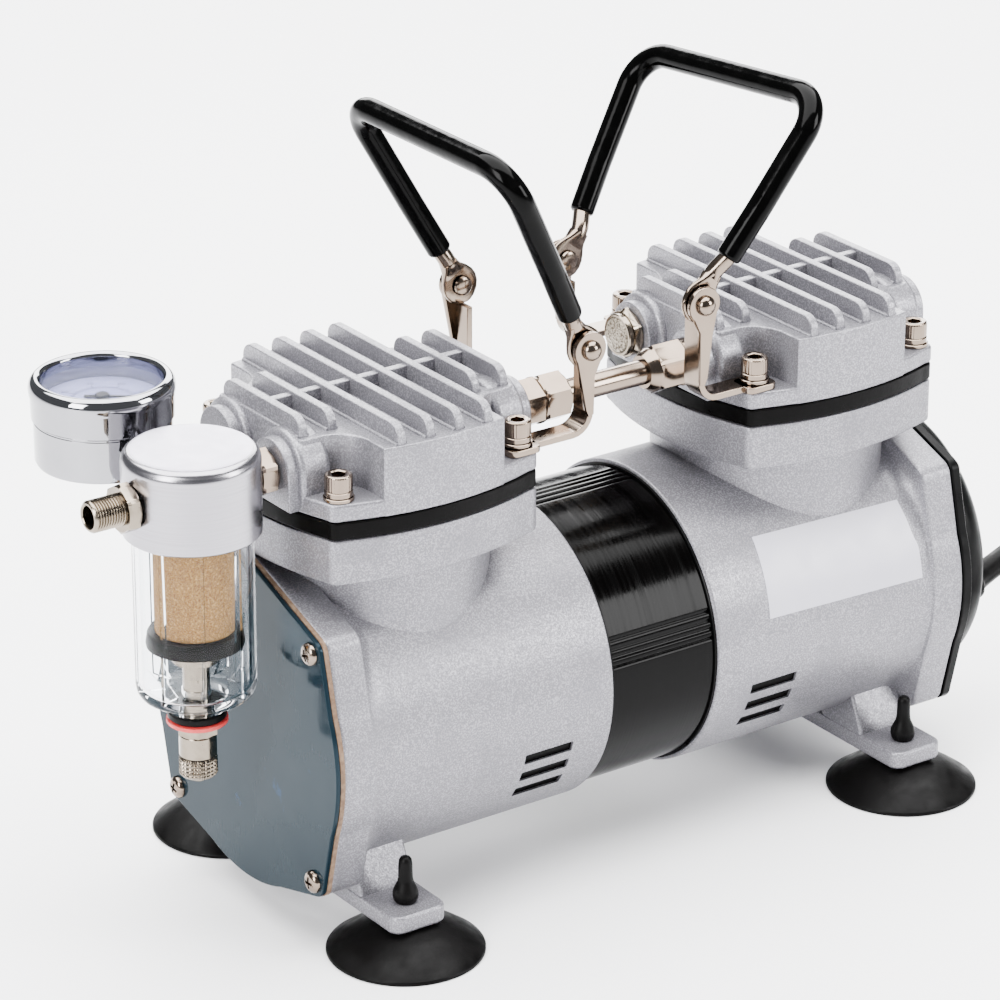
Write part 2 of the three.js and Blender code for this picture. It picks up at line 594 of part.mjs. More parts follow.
// A folded strip: it runs from under a head bolt, bends up, and ends in a round cheek with a rivet.
function bracket(end, side) {
  const spec = HANDLES[end];
  const away = end === 'front' ? 1 : -1;
  const boltX = UNITS[end].x + away * HEAD_BOLT.x;
  const { strip, thick, web, outerY, cheek, eyeR, rivetR } = BRACKET;
  const lean = spec.axis.map((part) => part * side * HANDLE.eyeY);
  const [hingeX, hingeZ] = [spec.hinge[0] + lean[0], spec.hinge[2] + lean[2]];
  const face = hingeX + away * 1.5; // outer face of the upright strip
  const bottom = HEAD.flangeTop + GAP;
  const bend = 7;
  const profile = new THREE.Shape();
  const x = (distance) => face - away * distance;
  profile.moveTo(boltX - away * 5, bottom);
  profile.lineTo(x(bend), bottom);
  profile.quadraticCurveTo(x(0), bottom, x(0), bottom + bend);
  profile.lineTo(x(0), hingeZ - 7.4);
  profile.lineTo(x(thick), hingeZ - 7.4);
  profile.lineTo(x(thick), bottom + bend);
  profile.quadraticCurveTo(x(thick), bottom + thick, x(bend), bottom + thick);
  profile.lineTo(boltX - away * 5, bottom + thick);
  const near = (from, to) => [side * from, side * to].sort((a, b) => a - b);
  const folded = prism('y', profile, ...near(outerY - strip, outerY), 3);
  const narrowed = cut(folded, block([-60, 60], near(outerY - strip - 1, outerY - web), [bottom + 6, 200]));
  const cheekSide = polygon([
    [x(0), bottom + bend], [x(0), hingeZ - eyeR], [hingeX + away * eyeR * 0.8, hingeZ - eyeR * 0.6],
    [hingeX, hingeZ], [hingeX - away * eyeR * 0.95, hingeZ - eyeR * 0.3], [x(thick + 0.6), bottom + bend],
  ]);
  const plate = join(
    prism('y', cheekSide, ...near(outerY - cheek, outerY)),
    rod('y', eyeR, ...near(outerY - cheek, outerY), [hingeX, hingeZ], 12),
  );
  const rivet = join(
    rod('y', rivetR, ...near(33, outerY), [hingeX, hingeZ], 8),
    rod('y', 3.3, ...near(outerY, outerY + 1.6), [hingeX, hingeZ], 10),
    rod('y', 3, ...near(32.4, 33.2), [hingeX, hingeZ], 16),
  );
  const hole = rod('z', HEAD_BOLT.shankR + GAP, bottom - CUT, bottom + 5, [boltX, side * HEAD_BOLT.y], 8);
  return cut(join(narrowed, plate, rivet), hole);
}

// Pipework: cross tube with its nuts, and the mufflers ---------------------------------------

function crossTube() {
  const port = [-PORT.y, PORT.z];
  const frontFace = UNITS.front.x + PORT.face;
  const rearFace = UNITS.rear.x - PORT.face;
  const tube = cut(
    rod('x', TUBE.r, frontFace + 3, rearFace - 3, port, 16),
    rod('x', TUBE.bore, frontFace, rearFace, port, 12),
  );
  piece(pump, 'cross_tube', tube, NICKEL());
  const bores = (from, to, step) => [
    rod('x', TUBE.r + GAP, step, to, port, 16),
    rod('x', TUBE.bore, from, step + CUT, port, 12),
  ];
  const frontNut = join(
    rod('x', PORT.thread, frontFace - 9, frontFace + 1, port, 12),
    rod('x', 8, frontFace + GAP, frontFace + 8, port, 6),
    rod('x', 7.4, frontFace + 7.9, frontFace + 8.4, port, 16),
    rod('x', 8, frontFace + 8.3, frontFace + 17.6, port, 6),
  );
  const frontBores = bores(frontFace - 12, frontFace + 20, frontFace + 2.7);
  piece(pump, 'front_tube_nut', cut(frontNut, ...frontBores), NICKEL());
  const rearNut = join(
    rod('x', PORT.thread, rearFace - 1, rearFace + 9, port, 12),
    rod('x', 7.4, rearFace - 4, rearFace - GAP, port, 16),
    rod('x', 8, rearFace - 15, rearFace - 3.5, port, 6),
    rod('x', 5.5, rearFace - 18.2, rearFace - 14.9, port, 16, 8),
  );
  const rearBores = [
    rod('x', TUBE.r + GAP, rearFace - 20, rearFace - 2.7, port, 16),
    rod('x', TUBE.bore, rearFace - 4, rearFace + 12, port, 12),
  ];
  piece(pump, 'rear_tube_nut', cut(rearNut, ...rearBores), NICKEL());
}

// A short sintered plug that quiets the air leaving a head, facing +X in its unit's own frame.
function muffler(end, row) {
  const place = [row * PORT.y, PORT.z];
  const body = join(
    rod('x', PORT.thread, PORT.face - 9, PORT.face + 1, place, 12),
    rod('x', 8.3, PORT.face + GAP, PORT.face + 3.6, place, 18),
    rod('x', 6.2, PORT.face + 3.5, PORT.face + 5, place, 18, 5.9),
  );
  piece(units[end], `${end}_muffler`, body, BRONZE());
}

// Intake filter, gauge and inlet --------------------------------------------------------------

function filter() {
  const { x, capR, capBottom, capTop, bowlR, bowlBottom } = FILTER;
  const y = -PORT.y;
  const cap = turned([
    [0, capBottom], [capR - 0.6, capBottom], [capR, capBottom + 0.6], [capR, capTop - 3.5],
    [capR - 1.1, capTop - 0.4], [capR - 1.8, capTop], [0, capTop],
  ], 24).translate([x, y, 0]);
  const hollows = [
    rod('z', bowlR + GAP, capBottom - CUT, 147, [x, y], 20),
    rod('z', 15, 140, 158, [x, y], 16),
    rod('x', PORT.bore, x - capR - CUT, x + capR + CUT, [y, PORT.z], 12),
    rod('y', PORT.bore, y, y + capR + CUT, [x, PORT.z], 12),
  ];
  piece(pump, 'filter_head', cut(cap, ...hollows), BRIGHT_ALUMINIUM());

  const outer = bowlR;
  const inner = bowlR - 2;
  const bowl = turned([
    [0, 83], [9, 83], [9, bowlBottom], [outer - 3, bowlBottom], [outer - 0.9, bowlBottom + 0.9],
    [outer, bowlBottom + 3], [outer, 146.4], [0, 146.4],
  ], 20);
  const hollow = turned([[0, 90], [inner - 2.5, 90], [inner, 92.5], [inner, 147], [0, 147]], 20);
  const drain = rod('z', 4.4, 82, 95, [0, 0], 12);
  piece(pump, 'filter_bowl', cut(bowl, hollow, drain).translate([x, y, 0]), CLEAR());

  const element = join(
    rod('z', 12, 107, 145, [x, y], 20),
    rod('z', 14.4, 103, 107.5, [x, y], 20, 13.4),
  );
  piece(pump, 'filter_element', cut(element, rod('z', 4.4, 100, 150, [x, y], 12)), SINTERED());

  const drainValve = turned([
    [0, 66], [5.7, 66], [5.7, 77.9], [9, 77.9], [9, 82.7], [4.1, 82.7], [4.1, 150], [0, 150],
  ], 16);
  piece(pump, 'drain_valve', drainValve.translate([x, y, 0]), STEEL());
  const knob = turned([[0, 59.5], [5.4, 59.5], [5.9, 60], [5.9, 65.2], [5.4, 65.7], [0, 65.7]], 16);
  piece(pump, 'drain_knob', knob.translate([x, y, 0]), STEEL());
}

function threadedFittings() {
  const { x, capR } = FILTER;
  const port = [-PORT.y, PORT.z];
  const bossFace = UNITS.front.x - PORT.face;
  const capFront = x - capR;
  const capBack = x + capR;
  const inlet = join(
    rod('x', 4.9, capFront - 14.4, capFront + 8, port, 16),
    rod('x', 8, capFront - 4.2, capFront - GAP, port, 6),
  );
  const inletBore = rod('x', 3.6, capFront - 20, capFront + 10, port, 12);
  piece(pump, 'inlet_fitting', cut(inlet, inletBore), BRIGHT_ALUMINIUM());
  const nipple = join(
    rod('x', PORT.thread, capBack - 8, bossFace + 11, port, 16),
    rod('x', 7.9, capBack + GAP, bossFace - GAP, port, 6),
  );
  piece(pump, 'filter_nipple', cut(nipple, rod('x', 3.2, capBack - 10, bossFace + 15, port, 20)), NICKEL());
}

function gauge() {
  const { x } = FILTER;
  const { y, r, bezelR, bottom, seam, top, glassR } = GAUGE;
  const body = turned([
    [0, bottom], [r - 1.5, bottom], [r, bottom + 1.5], [r, seam], [bezelR, seam], [bezelR, top - 1],
    [bezelR - 1, top], [glassR + 0.6, top], [glassR, top - 1.2], [glassR, seam],
    [1.2, seam], [0.8, seam + 2.4], [0, seam + 2.4],
  ], 24).translate([x, y, 0]);
  const stem = join(
    rod('y', 4.9, FILTER.capR - 8 - PORT.y, y - r + 4, [x, PORT.z], 12),
    rod('y', 7.6, FILTER.capR + GAP - PORT.y, y - r + 3, [x, PORT.z], 6),
  );
  piece(pump, 'gauge_case', join(body, stem), CHROME());
  const outline = polygon([[-5.5, -0.9], [0, -1.3], [15, -0.25], [15, 0.25], [0, 1.3], [-5.5, 0.9]]);
  const blade = prism('z', outline, 0, 0.6);
  const hub = rod('z', 2.4, 0, 1.2, [0, 0], 12);
  const needle = cut(join(blade, hub), rod('z', 1.5, -1, 2, [0, 0], 10));
  const mesh = piece(pump, 'gauge_needle', needle, NEEDLE_BLACK());
  mesh.position.set(x, y, seam + 0.9);
  mesh.rotation.z = NEEDLE_TURN;
}

// Mains lead ---------------------------------------------------------------------------------

function lead() {
  const relief = between(RELIEF.root, RELIEF.end, RELIEF.rootR, CORD.r + 0.6);
  piece(pump, 'strain_relief', relief, BLACK_RUBBER());
  const route = new THREE.CatmullRomCurve3(CORD_ROUTE.map((point) => new THREE.Vector3(...point)));
  piece(pump, 'power_cord', sweep(route, CORD.r, 20, 8), BLACK_PLASTIC());
  const [inner, outer] = [CORD.turnR[0] - CORD.r, CORD.turnR[1] + CORD.r];
  const height = CORD.pitch + 2 * CORD.r;
  const coil = turned([[inner, 0], [outer, 0], [outer, height], [inner, height], [inner, 0]], 24);
  piece(pump, 'cord_coil', coil.translate([...COIL_CENTRE, 0]), BLACK_PLASTIC());
  piece(pump, 'plug', plug(), BLACK_PLASTIC());
}

// A flat two-pin plug lying on the floor, its tail towards the coil.
function plug() {
  const { thick, width, length, tail, pinR, pinLength, pinSpacing } = PLUG;
  const y = COIL_CENTRE[1] - CORD.turnR[1];
  const z = thick / 2;
  const back = COIL_CENTRE[0] - 28.2;
  const nose = back - tail - length;
  const outline = polygon([
    [nose, -width / 2], [nose + length * 0.5, -width / 2], [nose + length, -8], [nose + length, 8],
    [nose + length * 0.5, width / 2], [nose, width / 2],
  ]);
  const pins = [-1, 1].map((side) => rod('x', pinR, nose - pinLength, nose + 1, [side * pinSpacing / 2, z], 10));
  return join(
    prism('z', outline, 0, thick),
    rod('x', 6, back - tail - 1, back, [0, z], 12, 4.4),
    ...pins,
  ).translate([0, y, 0]);
}

// Assembly -----------------------------------------------------------------------------------

crankcaseUnits();
motor();
endPlates();
piece(pump, 'end_cover', endCover(), BLACK_PLASTIC());
crossTube();
muffler('front', 1);
muffler('rear', -1);
filter();
threadedFittings();
gauge();
for (const end of Object.keys(HANDLES)) {
  handle(end);
  [-1, 1].forEach((side, i) => piece(pump, `${end}_handle_bracket_${i + 1}`, bracket(end, side), NICKEL()));
}
lead();

// The origin is under the middle of the pump itself, without the lead that lies beside it.
const LEAD_PIECES = ['strain_relief', 'power_cord', 'cord_coil', 'plug'];
const footprint = new THREE.Box3();
pump.updateMatrixWorld(true);
pump.traverse((object) => {
  if (object.isMesh && !LEAD_PIECES.includes(object.name)) footprint.expandByObject(object, true);
});
const middle = footprint.getCenter(new THREE.Vector3());
pump.position.set(-middle.x, -middle.y, -footprint.min.z);

export default pump;
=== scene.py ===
"""Oil-free twin-cylinder piston vacuum pump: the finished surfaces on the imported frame.

Shapes are drawn in millimetres in the row frame and scaled to metres when a mesh is made.
"""
import json
import math
import bpy
from mathutils import Matrix, Vector


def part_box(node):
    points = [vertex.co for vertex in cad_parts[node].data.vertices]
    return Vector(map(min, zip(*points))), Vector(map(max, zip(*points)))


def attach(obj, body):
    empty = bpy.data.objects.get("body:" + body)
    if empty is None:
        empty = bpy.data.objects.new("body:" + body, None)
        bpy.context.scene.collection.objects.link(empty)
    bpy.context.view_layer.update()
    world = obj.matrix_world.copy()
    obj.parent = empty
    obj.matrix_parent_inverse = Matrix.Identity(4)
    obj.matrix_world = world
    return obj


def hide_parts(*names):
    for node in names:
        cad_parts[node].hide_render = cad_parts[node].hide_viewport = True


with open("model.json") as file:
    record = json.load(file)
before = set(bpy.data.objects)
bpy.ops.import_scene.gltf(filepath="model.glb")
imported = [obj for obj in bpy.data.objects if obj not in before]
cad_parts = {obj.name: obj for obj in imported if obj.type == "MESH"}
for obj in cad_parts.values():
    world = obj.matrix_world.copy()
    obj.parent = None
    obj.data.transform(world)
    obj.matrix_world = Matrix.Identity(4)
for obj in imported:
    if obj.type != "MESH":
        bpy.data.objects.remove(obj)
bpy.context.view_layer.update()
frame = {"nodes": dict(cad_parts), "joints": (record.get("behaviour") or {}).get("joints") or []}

MM = 0.001
TAU = 2 * math.pi


# ---------------------------------------------------------------- places taken from the frame

def low_high(node):
    """A node's box corners in millimetres."""
    low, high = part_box(node)
    return [c / MM for c in low], [c / MM for c in high]


def middle(node, axis):
    low, high = low_high(node)
    return (low[axis] + high[axis]) / 2


FRONT_X = middle("front_valve_plate", 0)
REAR_X = middle("rear_valve_plate", 0)
SHAFT_Z = middle("motor_shaft", 2)
FEET_X = FRONT_X + 77  # midway between the feet castings
FRONT_END = low_high("front_housing")[0][0]
REAR_END = low_high("rear_housing")[1][0]
FRONT_JOINT = low_high("front_housing")[1][0]
REAR_JOINT = low_high("rear_housing")[0][0]
FILTER_X = middle("drain_knob", 0)
PORT_Y = -middle("drain_knob", 1)
PORT_Z = 151.5
GAUGE_Y = 35.0
HINGES = {joint["child"]: joint for joint in frame["joints"]}


# ---------------------------------------------------------------- camera

AZIMUTH, ELEVATION, ROLL = (math.radians(angle) for angle in (-35.289, 23.127, 0.1415))
AIM = Vector((FEET_X - 27.25, 0, 113.6)) * MM
DISTANCE = 1.45416


def make_camera():
    back = Vector((
        math.sin(AZIMUTH) * math.cos(ELEVATION),
        -math.cos(AZIMUTH) * math.cos(ELEVATION),
        math.sin(ELEVATION),
    ))
    level = Vector((math.cos(AZIMUTH), math.sin(AZIMUTH), 0))
    raised = back.cross(level)
    right = math.cos(ROLL) * level + math.sin(ROLL) * raised
    up = back.cross(right)
    data = bpy.data.cameras.new("camera")
    data.lens = 168.03
    data.sensor_width = 36
    data.clip_start = 0.05
    data.clip_end = 50
    camera = bpy.data.objects.new("camera", data)
    bpy.context.scene.collection.objects.link(camera)
    turn = Matrix((right, up, back)).transposed().to_4x4()
    camera.matrix_world = Matrix.Translation(AIM + DISTANCE * back) @ turn
    bpy.context.scene.camera = camera


make_camera()


# ---------------------------------------------------------------- materials

def rgb(red, green, blue):
    return (red, green, blue, 1.0)


class Finish:
    """A Principled material whose colour, roughness and relief vary with noise on the piece."""

    def __init__(self, name, color, roughness, metallic=0.0, **constants):
        self.material = bpy.data.materials.new(name)
        self.material.use_nodes = True
        self.tree = self.material.node_tree
        self.shader = self.tree.nodes["Principled BSDF"]
        self.color = color
        self.roughness = roughness
        self.set("Base Color", rgb(*color))
        self.set("Roughness", roughness)
        self.set("Metallic", metallic)
        for socket, value in constants.items():
            self.set(socket.replace("_", " "), value)
        self.place = self.node("ShaderNodeTexCoord").outputs["Object"]
        self.normal = None

    def set(self, socket, value):
        self.shader.inputs[socket].default_value = value

    def node(self, kind, **settings):
        made = self.tree.nodes.new(kind)
        for name, value in settings.items():
            setattr(made, name, value)
        return made

    def link(self, source, target):
        self.tree.links.new(source, target)

    def noise(self, scale, detail=3.0, stretch=(1, 1, 1), rough=0.5):
        where = self.place
        if stretch != (1, 1, 1):
            mapping = self.node("ShaderNodeMapping")
            mapping.inputs["Scale"].default_value = stretch
            self.link(self.place, mapping.inputs["Vector"])
            where = mapping.outputs["Vector"]
        noise = self.node("ShaderNodeTexNoise")
        noise.inputs["Scale"].default_value = scale
        noise.inputs["Detail"].default_value = detail
        noise.inputs["Roughness"].default_value = rough
        self.link(where, noise.inputs["Vector"])
        return noise.outputs["Fac"]

    def ranged(self, value, low, high, to_low, to_high):
        mapped = self.node("ShaderNodeMapRange")
        for socket, number in zip(("From Min", "From Max", "To Min", "To Max"), (low, high, to_low, to_high)):
            mapped.inputs[socket].default_value = number
        self.link(value, mapped.inputs["Value"])
        return mapped.outputs["Result"]

    def mottle(self, other, scale, low=0.35, high=0.65, detail=3.0, stretch=(1, 1, 1)):
        """Blends the colour so far towards another one where the noise is high."""
        mix = self.node("ShaderNodeMix", data_type="RGBA")
        base = self.shader.inputs["Base Color"]
        if base.is_linked:
            self.link(base.links[0].from_socket, mix.inputs["A"])
        else:
            mix.inputs["A"].default_value = base.default_value
        mix.inputs["B"].default_value = rgb(*other)
        self.link(self.ranged(self.noise(scale, detail, stretch), low, high, 0, 1), mix.inputs["Factor"])
        self.link(mix.outputs["Result"], base)
        return self

    def uneven(self, spread, scale, stretch=(1, 1, 1)):
        """Lets the roughness wander by the spread on either side."""
        low, high = max(0.02, self.roughness - spread), self.roughness + spread
        value = self.ranged(self.noise(scale, 4.0, stretch), 0.3, 0.7, low, high)
        self.link(value, self.shader.inputs["Roughness"])
        return self

    def relief(self, scale, depth, strength=1.0, detail=2.0, stretch=(1, 1, 1)):
        bump = self.node("ShaderNodeBump")
        bump.inputs["Distance"].default_value = depth * MM
        bump.inputs["Strength"].default_value = strength
        self.link(self.noise(scale, detail, stretch), bump.inputs["Height"])
        if self.normal is not None:
            self.link(self.normal, bump.inputs["Normal"])
        self.normal = bump.outputs["Normal"]
        self.link(self.normal, self.shader.inputs["Normal"])
        return self


def silver_paint():
    paint = Finish("silver_paint", (0.148, 0.144, 0.16), 0.42, 0.55, Specular_IOR_Level=0.5)
    paint.mottle((0.265, 0.26, 0.282), 1900, 0.46, 0.62, 2.0).mottle((0.14, 0.136, 0.152), 60, 0.5, 0.9)
    return paint.uneven(0.08, 900).relief(1500, 0.09, 0.7).relief(300, 0.05, 0.4).material


def machined_paint():
    """The finned head casting: the same silver, a little brighter and cleaner."""
    paint = Finish("silver_head", (0.155, 0.151, 0.168), 0.40, 0.55, Specular_IOR_Level=0.5)
    paint.mottle((0.28, 0.275, 0.298), 1900, 0.46, 0.62, 2.0).mottle((0.146, 0.142, 0.158), 70, 0.5, 0.9)
    return paint.uneven(0.08, 900).relief(1500, 0.08, 0.7).relief(240, 0.05, 0.4).material


def nickel():
    metal = Finish("nickel", (0.21, 0.165, 0.13), 0.16, 1.0)
    metal.mottle((0.17, 0.13, 0.10), 90, 0.4, 0.9)
    return metal.uneven(0.04, 120).relief(160, 0.03, 0.4).material


def chrome():
    metal = Finish("chrome", (0.28, 0.28, 0.295), 0.06, 1.0)
    metal.mottle((0.25, 0.25, 0.265), 90, 0.5, 0.9)
    return metal.uneven(0.03, 150).relief(60, 0.05, 0.3).material


def turned_aluminium():
    metal = Finish("turned_aluminium", (0.33, 0.32, 0.345), 0.22, 1.0, Anisotropic=0.6)
    tangent = metal.node("ShaderNodeTangent", direction_type="RADIAL", axis="Z")
    metal.link(tangent.outputs["Tangent"], metal.shader.inputs["Tangent"])
    metal.mottle((0.28, 0.27, 0.295), 1.0, 0.4, 0.75, 4.0, (30, 30, 2600))
    return metal.uneven(0.03, 1.0, (30, 30, 2200)).relief(1.0, 0.006, 0.4, 3.0, (20, 20, 3000)).material


# The cap's faced top has its own finish without the turning's anisotropy. Its lighter, lavender colour than
# the turned aluminium is a painted highlight where the top catches the light.
def faced_aluminium_painted_highlight():
    metal = Finish("faced_aluminium_painted_highlight", (0.50, 0.48, 0.55), 0.38, 1.0)
    metal.mottle((0.45, 0.43, 0.50), 120, 0.4, 0.8)
    return metal.uneven(0.05, 300).relief(500, 0.01, 0.4).material


def zinc_plate():
    metal = Finish("zinc_plate", (0.006, 0.014, 0.020), 0.12, 0.25, Specular_IOR_Level=0.06)
    metal.mottle((0.013, 0.022, 0.028), 22, 0.45, 0.75).mottle((0.010, 0.04, 0.10), 70, 0.68, 0.76, 5.0)
    return metal.uneven(0.10, 90).relief(1.0, 0.02, 0.4, 3.0, (40, 900, 40)).material


def steel():
    metal = Finish("steel", (0.55, 0.55, 0.56), 0.30, 1.0)
    metal.mottle((0.42, 0.42, 0.44), 120)
    return metal.uneven(0.08, 300).relief(500, 0.03, 0.4).material


def plated_brass():
    metal = Finish("plated_brass", (0.22, 0.185, 0.145), 0.20, 1.0)
    metal.mottle((0.15, 0.125, 0.095), 260, 0.45, 0.8)
    return metal.uneven(0.08, 400).relief(600, 0.04, 0.5).material


def sintered_bronze():
    metal = Finish("sintered_bronze", (0.32, 0.28, 0.22), 0.45, 0.85)
    metal.mottle((0.08, 0.06, 0.04), 1500, 0.48, 0.62, 1.0)
    return metal.uneven(0.15, 1500).relief(1500, 0.5, 1.0, 1.0).material


def copper_wire():
    metal = Finish("copper_wire", (0.55, 0.24, 0.10), 0.35, 0.9)
    metal.mottle((0.36, 0.14, 0.06), 1.0, 0.4, 0.7, 3.0, (900, 60, 60))
    return metal.uneven(0.1, 200).relief(1.0, 0.3, 0.8, 2.0, (900, 60, 60)).material


def black_rubber():
    rubber = Finish("black_rubber", (0.0014, 0.0013, 0.0013), 0.42, 0.0, Specular_IOR_Level=0.06)
    rubber.mottle((0.003, 0.0027, 0.0027), 120, 0.5, 0.85)
    return rubber.uneven(0.12, 200).relief(1500, 0.05, 0.6).relief(120, 0.15, 0.4).material


def grip_sleeve():
    vinyl = Finish("grip_sleeve", (0.0006, 0.0006, 0.0006), 0.13, 0.0, Specular_IOR_Level=0.05)
    vinyl.mottle((0.0014, 0.0014, 0.0014), 200, 0.5, 0.85)
    return vinyl.uneven(0.07, 150).relief(130, 0.30, 0.45).material


def black_plastic():
    plastic = Finish("black_plastic", (0.0012, 0.0012, 0.0013), 0.34, 0.0, Specular_IOR_Level=0.06)
    plastic.mottle((0.003, 0.003, 0.003), 90, 0.5, 0.85)
    return plastic.uneven(0.08, 120).relief(900, 0.05, 0.5).material


def cord_jacket():
    vinyl = Finish("cord_jacket", (0.002, 0.002, 0.002), 0.42, 0.0, Specular_IOR_Level=0.08)
    vinyl.mottle((0.009, 0.009, 0.009), 150, 0.5, 0.85)
    return vinyl.uneven(0.1, 200).relief(250, 0.08, 0.5).material


def black_varnish():
    """Varnished laminations: fine lines run round the stator."""
    varnish = Finish("black_varnish", (0.0005, 0.0004, 0.0004), 0.15, 0.0, Specular_IOR_Level=0.05)
    varnish.mottle((0.0012, 0.0012, 0.0012), 1.0, 0.4, 0.8, 3.0, (1400, 20, 20))
    return varnish.uneven(0.08, 1.0, (900, 30, 30)).relief(1.0, 0.05, 0.5, 2.0, (1400, 8, 8)).material


def black_coat():
    coat = Finish("black_coat", (0.0010, 0.0009, 0.0009), 0.36, 0.0, Specular_IOR_Level=0.04)
    coat.mottle((0.002, 0.0018, 0.0018), 150, 0.5, 0.85)
    return coat.uneven(0.1, 300).relief(900, 0.06, 0.6).material


def pressed_fibre():
    fibre = Finish("pressed_fibre", (0.10, 0.055, 0.03), 0.85)
    fibre.mottle((0.18, 0.115, 0.07), 500, 0.4, 0.7)
    return fibre.uneven(0.08, 400).relief(700, 0.2, 0.8).material


def porous_element():
    felt = Finish("porous_element", (0.24, 0.125, 0.030), 0.85)
    felt.mottle((0.14, 0.06, 0.012), 2300, 0.46, 0.62, 1.0).mottle((0.36, 0.21, 0.065), 1500, 0.52, 0.66)
    return felt.uneven(0.08, 500).relief(1100, 0.35, 0.9, 1.0).material


def clear_plastic():
    clear = Finish("clear_plastic", (0.97, 0.98, 0.99), 0.02, 0.0, IOR=1.13, Transmission_Weight=1.0)
    clear.mottle((0.94, 0.96, 0.98), 40, 0.4, 0.8)
    return clear.uneven(0.01, 60).material


def clear_pane():
    pane = Finish("clear_pane", (0.10, 0.11, 0.16), 0.05, 0.0, Alpha=0.06, Specular_IOR_Level=0.15)
    pane.mottle((0.16, 0.17, 0.24), 30, 0.4, 0.8)
    return pane.uneven(0.03, 60).material


def red_washer():
    rubber = Finish("red_washer", (0.55, 0.03, 0.03), 0.5)
    rubber.mottle((0.38, 0.02, 0.02), 300)
    return rubber.uneven(0.1, 300).relief(500, 0.1, 0.5).material


def label_paper():
    paper = Finish("label_paper", (0.47, 0.46, 0.52), 0.35)
    paper.mottle((0.44, 0.43, 0.50), 60, 0.4, 0.8)
    return paper.uneven(0.06, 150).relief(700, 0.02, 0.4).material


def dial_face():
    face = Finish("dial_face", (0.215, 0.225, 0.40), 0.6, 0.0, Specular_IOR_Level=0.1)
    face.mottle((0.19, 0.20, 0.37), 50, 0.4, 0.8)
    return face.uneven(0.05, 150).relief(900, 0.01, 0.3).material


def dial_ink():
    ink = Finish("dial_ink", (0.008, 0.008, 0.02), 0.6, 0.0, Specular_IOR_Level=0.05)
    ink.mottle((0.02, 0.02, 0.04), 400)
    return ink.uneven(0.05, 300).material


def floor_finish():
    floor = Finish("floor", (0.93, 0.93, 0.94), 0.7)
    floor.mottle((0.90, 0.90, 0.91), 3, 0.4, 0.8)
    return floor.material


FINISHES = {maker.__name__: maker() for maker in (
    silver_paint, machined_paint, nickel, chrome, turned_aluminium, faced_aluminium_painted_highlight, zinc_plate, steel,
    plated_brass, sintered_bronze, copper_wire, black_rubber, grip_sleeve, black_plastic, cord_jacket,
    black_varnish, black_coat, pressed_fibre, porous_element, clear_plastic, clear_pane, red_washer,
    label_paper, dial_face, dial_ink, floor_finish,
)}


# ---------------------------------------------------------------- mesh building

def frame_along(origin, direction, up=(0, 0, 1)):
    """A frame whose Z runs along the direction, with its X as near as may be to up."""
    z = Vector(direction).normalized()
    guide = Vector(up)
    if abs(z.dot(guide.normalized())) > 0.99:
        guide = Vector((1, 0, 0))
    x = (guide - guide.dot(z) * z).normalized()
    y = z.cross(x)
    return Matrix.Translation(Vector(origin)) @ Matrix((x, y, z)).transposed().to_4x4()


def sideways(origin=(0, 0, 0)):
    """A frame for outlines drawn in YZ and pushed along X."""
    turn = Matrix(((0, 0, 1), (1, 0, 0), (0, 1, 0))).to_4x4()
    return Matrix.Translation(Vector(origin)) @ turn


def across(origin=(0, 0, 0)):
    """A frame for outlines drawn in XZ and pushed along -Y."""
    turn = Matrix(((1, 0, 0), (0, 0, -1), (0, 1, 0))).to_4x4()
    return Matrix.Translation(Vector(origin)) @ turn


def weigh_normals(made):
    """Lets the large faces set the shading, so bevels turn light without bending the faces beside them."""
    modifier = made.modifiers.new("weigh", "WEIGHTED_NORMAL")
    modifier.mode = "FACE_AREA"
    modifier.keep_sharp = True
    bpy.context.view_layer.update()
    made.data = bpy.data.meshes.new_from_object(made.evaluated_get(bpy.context.evaluated_depsgraph_get()))
    made.modifiers.clear()


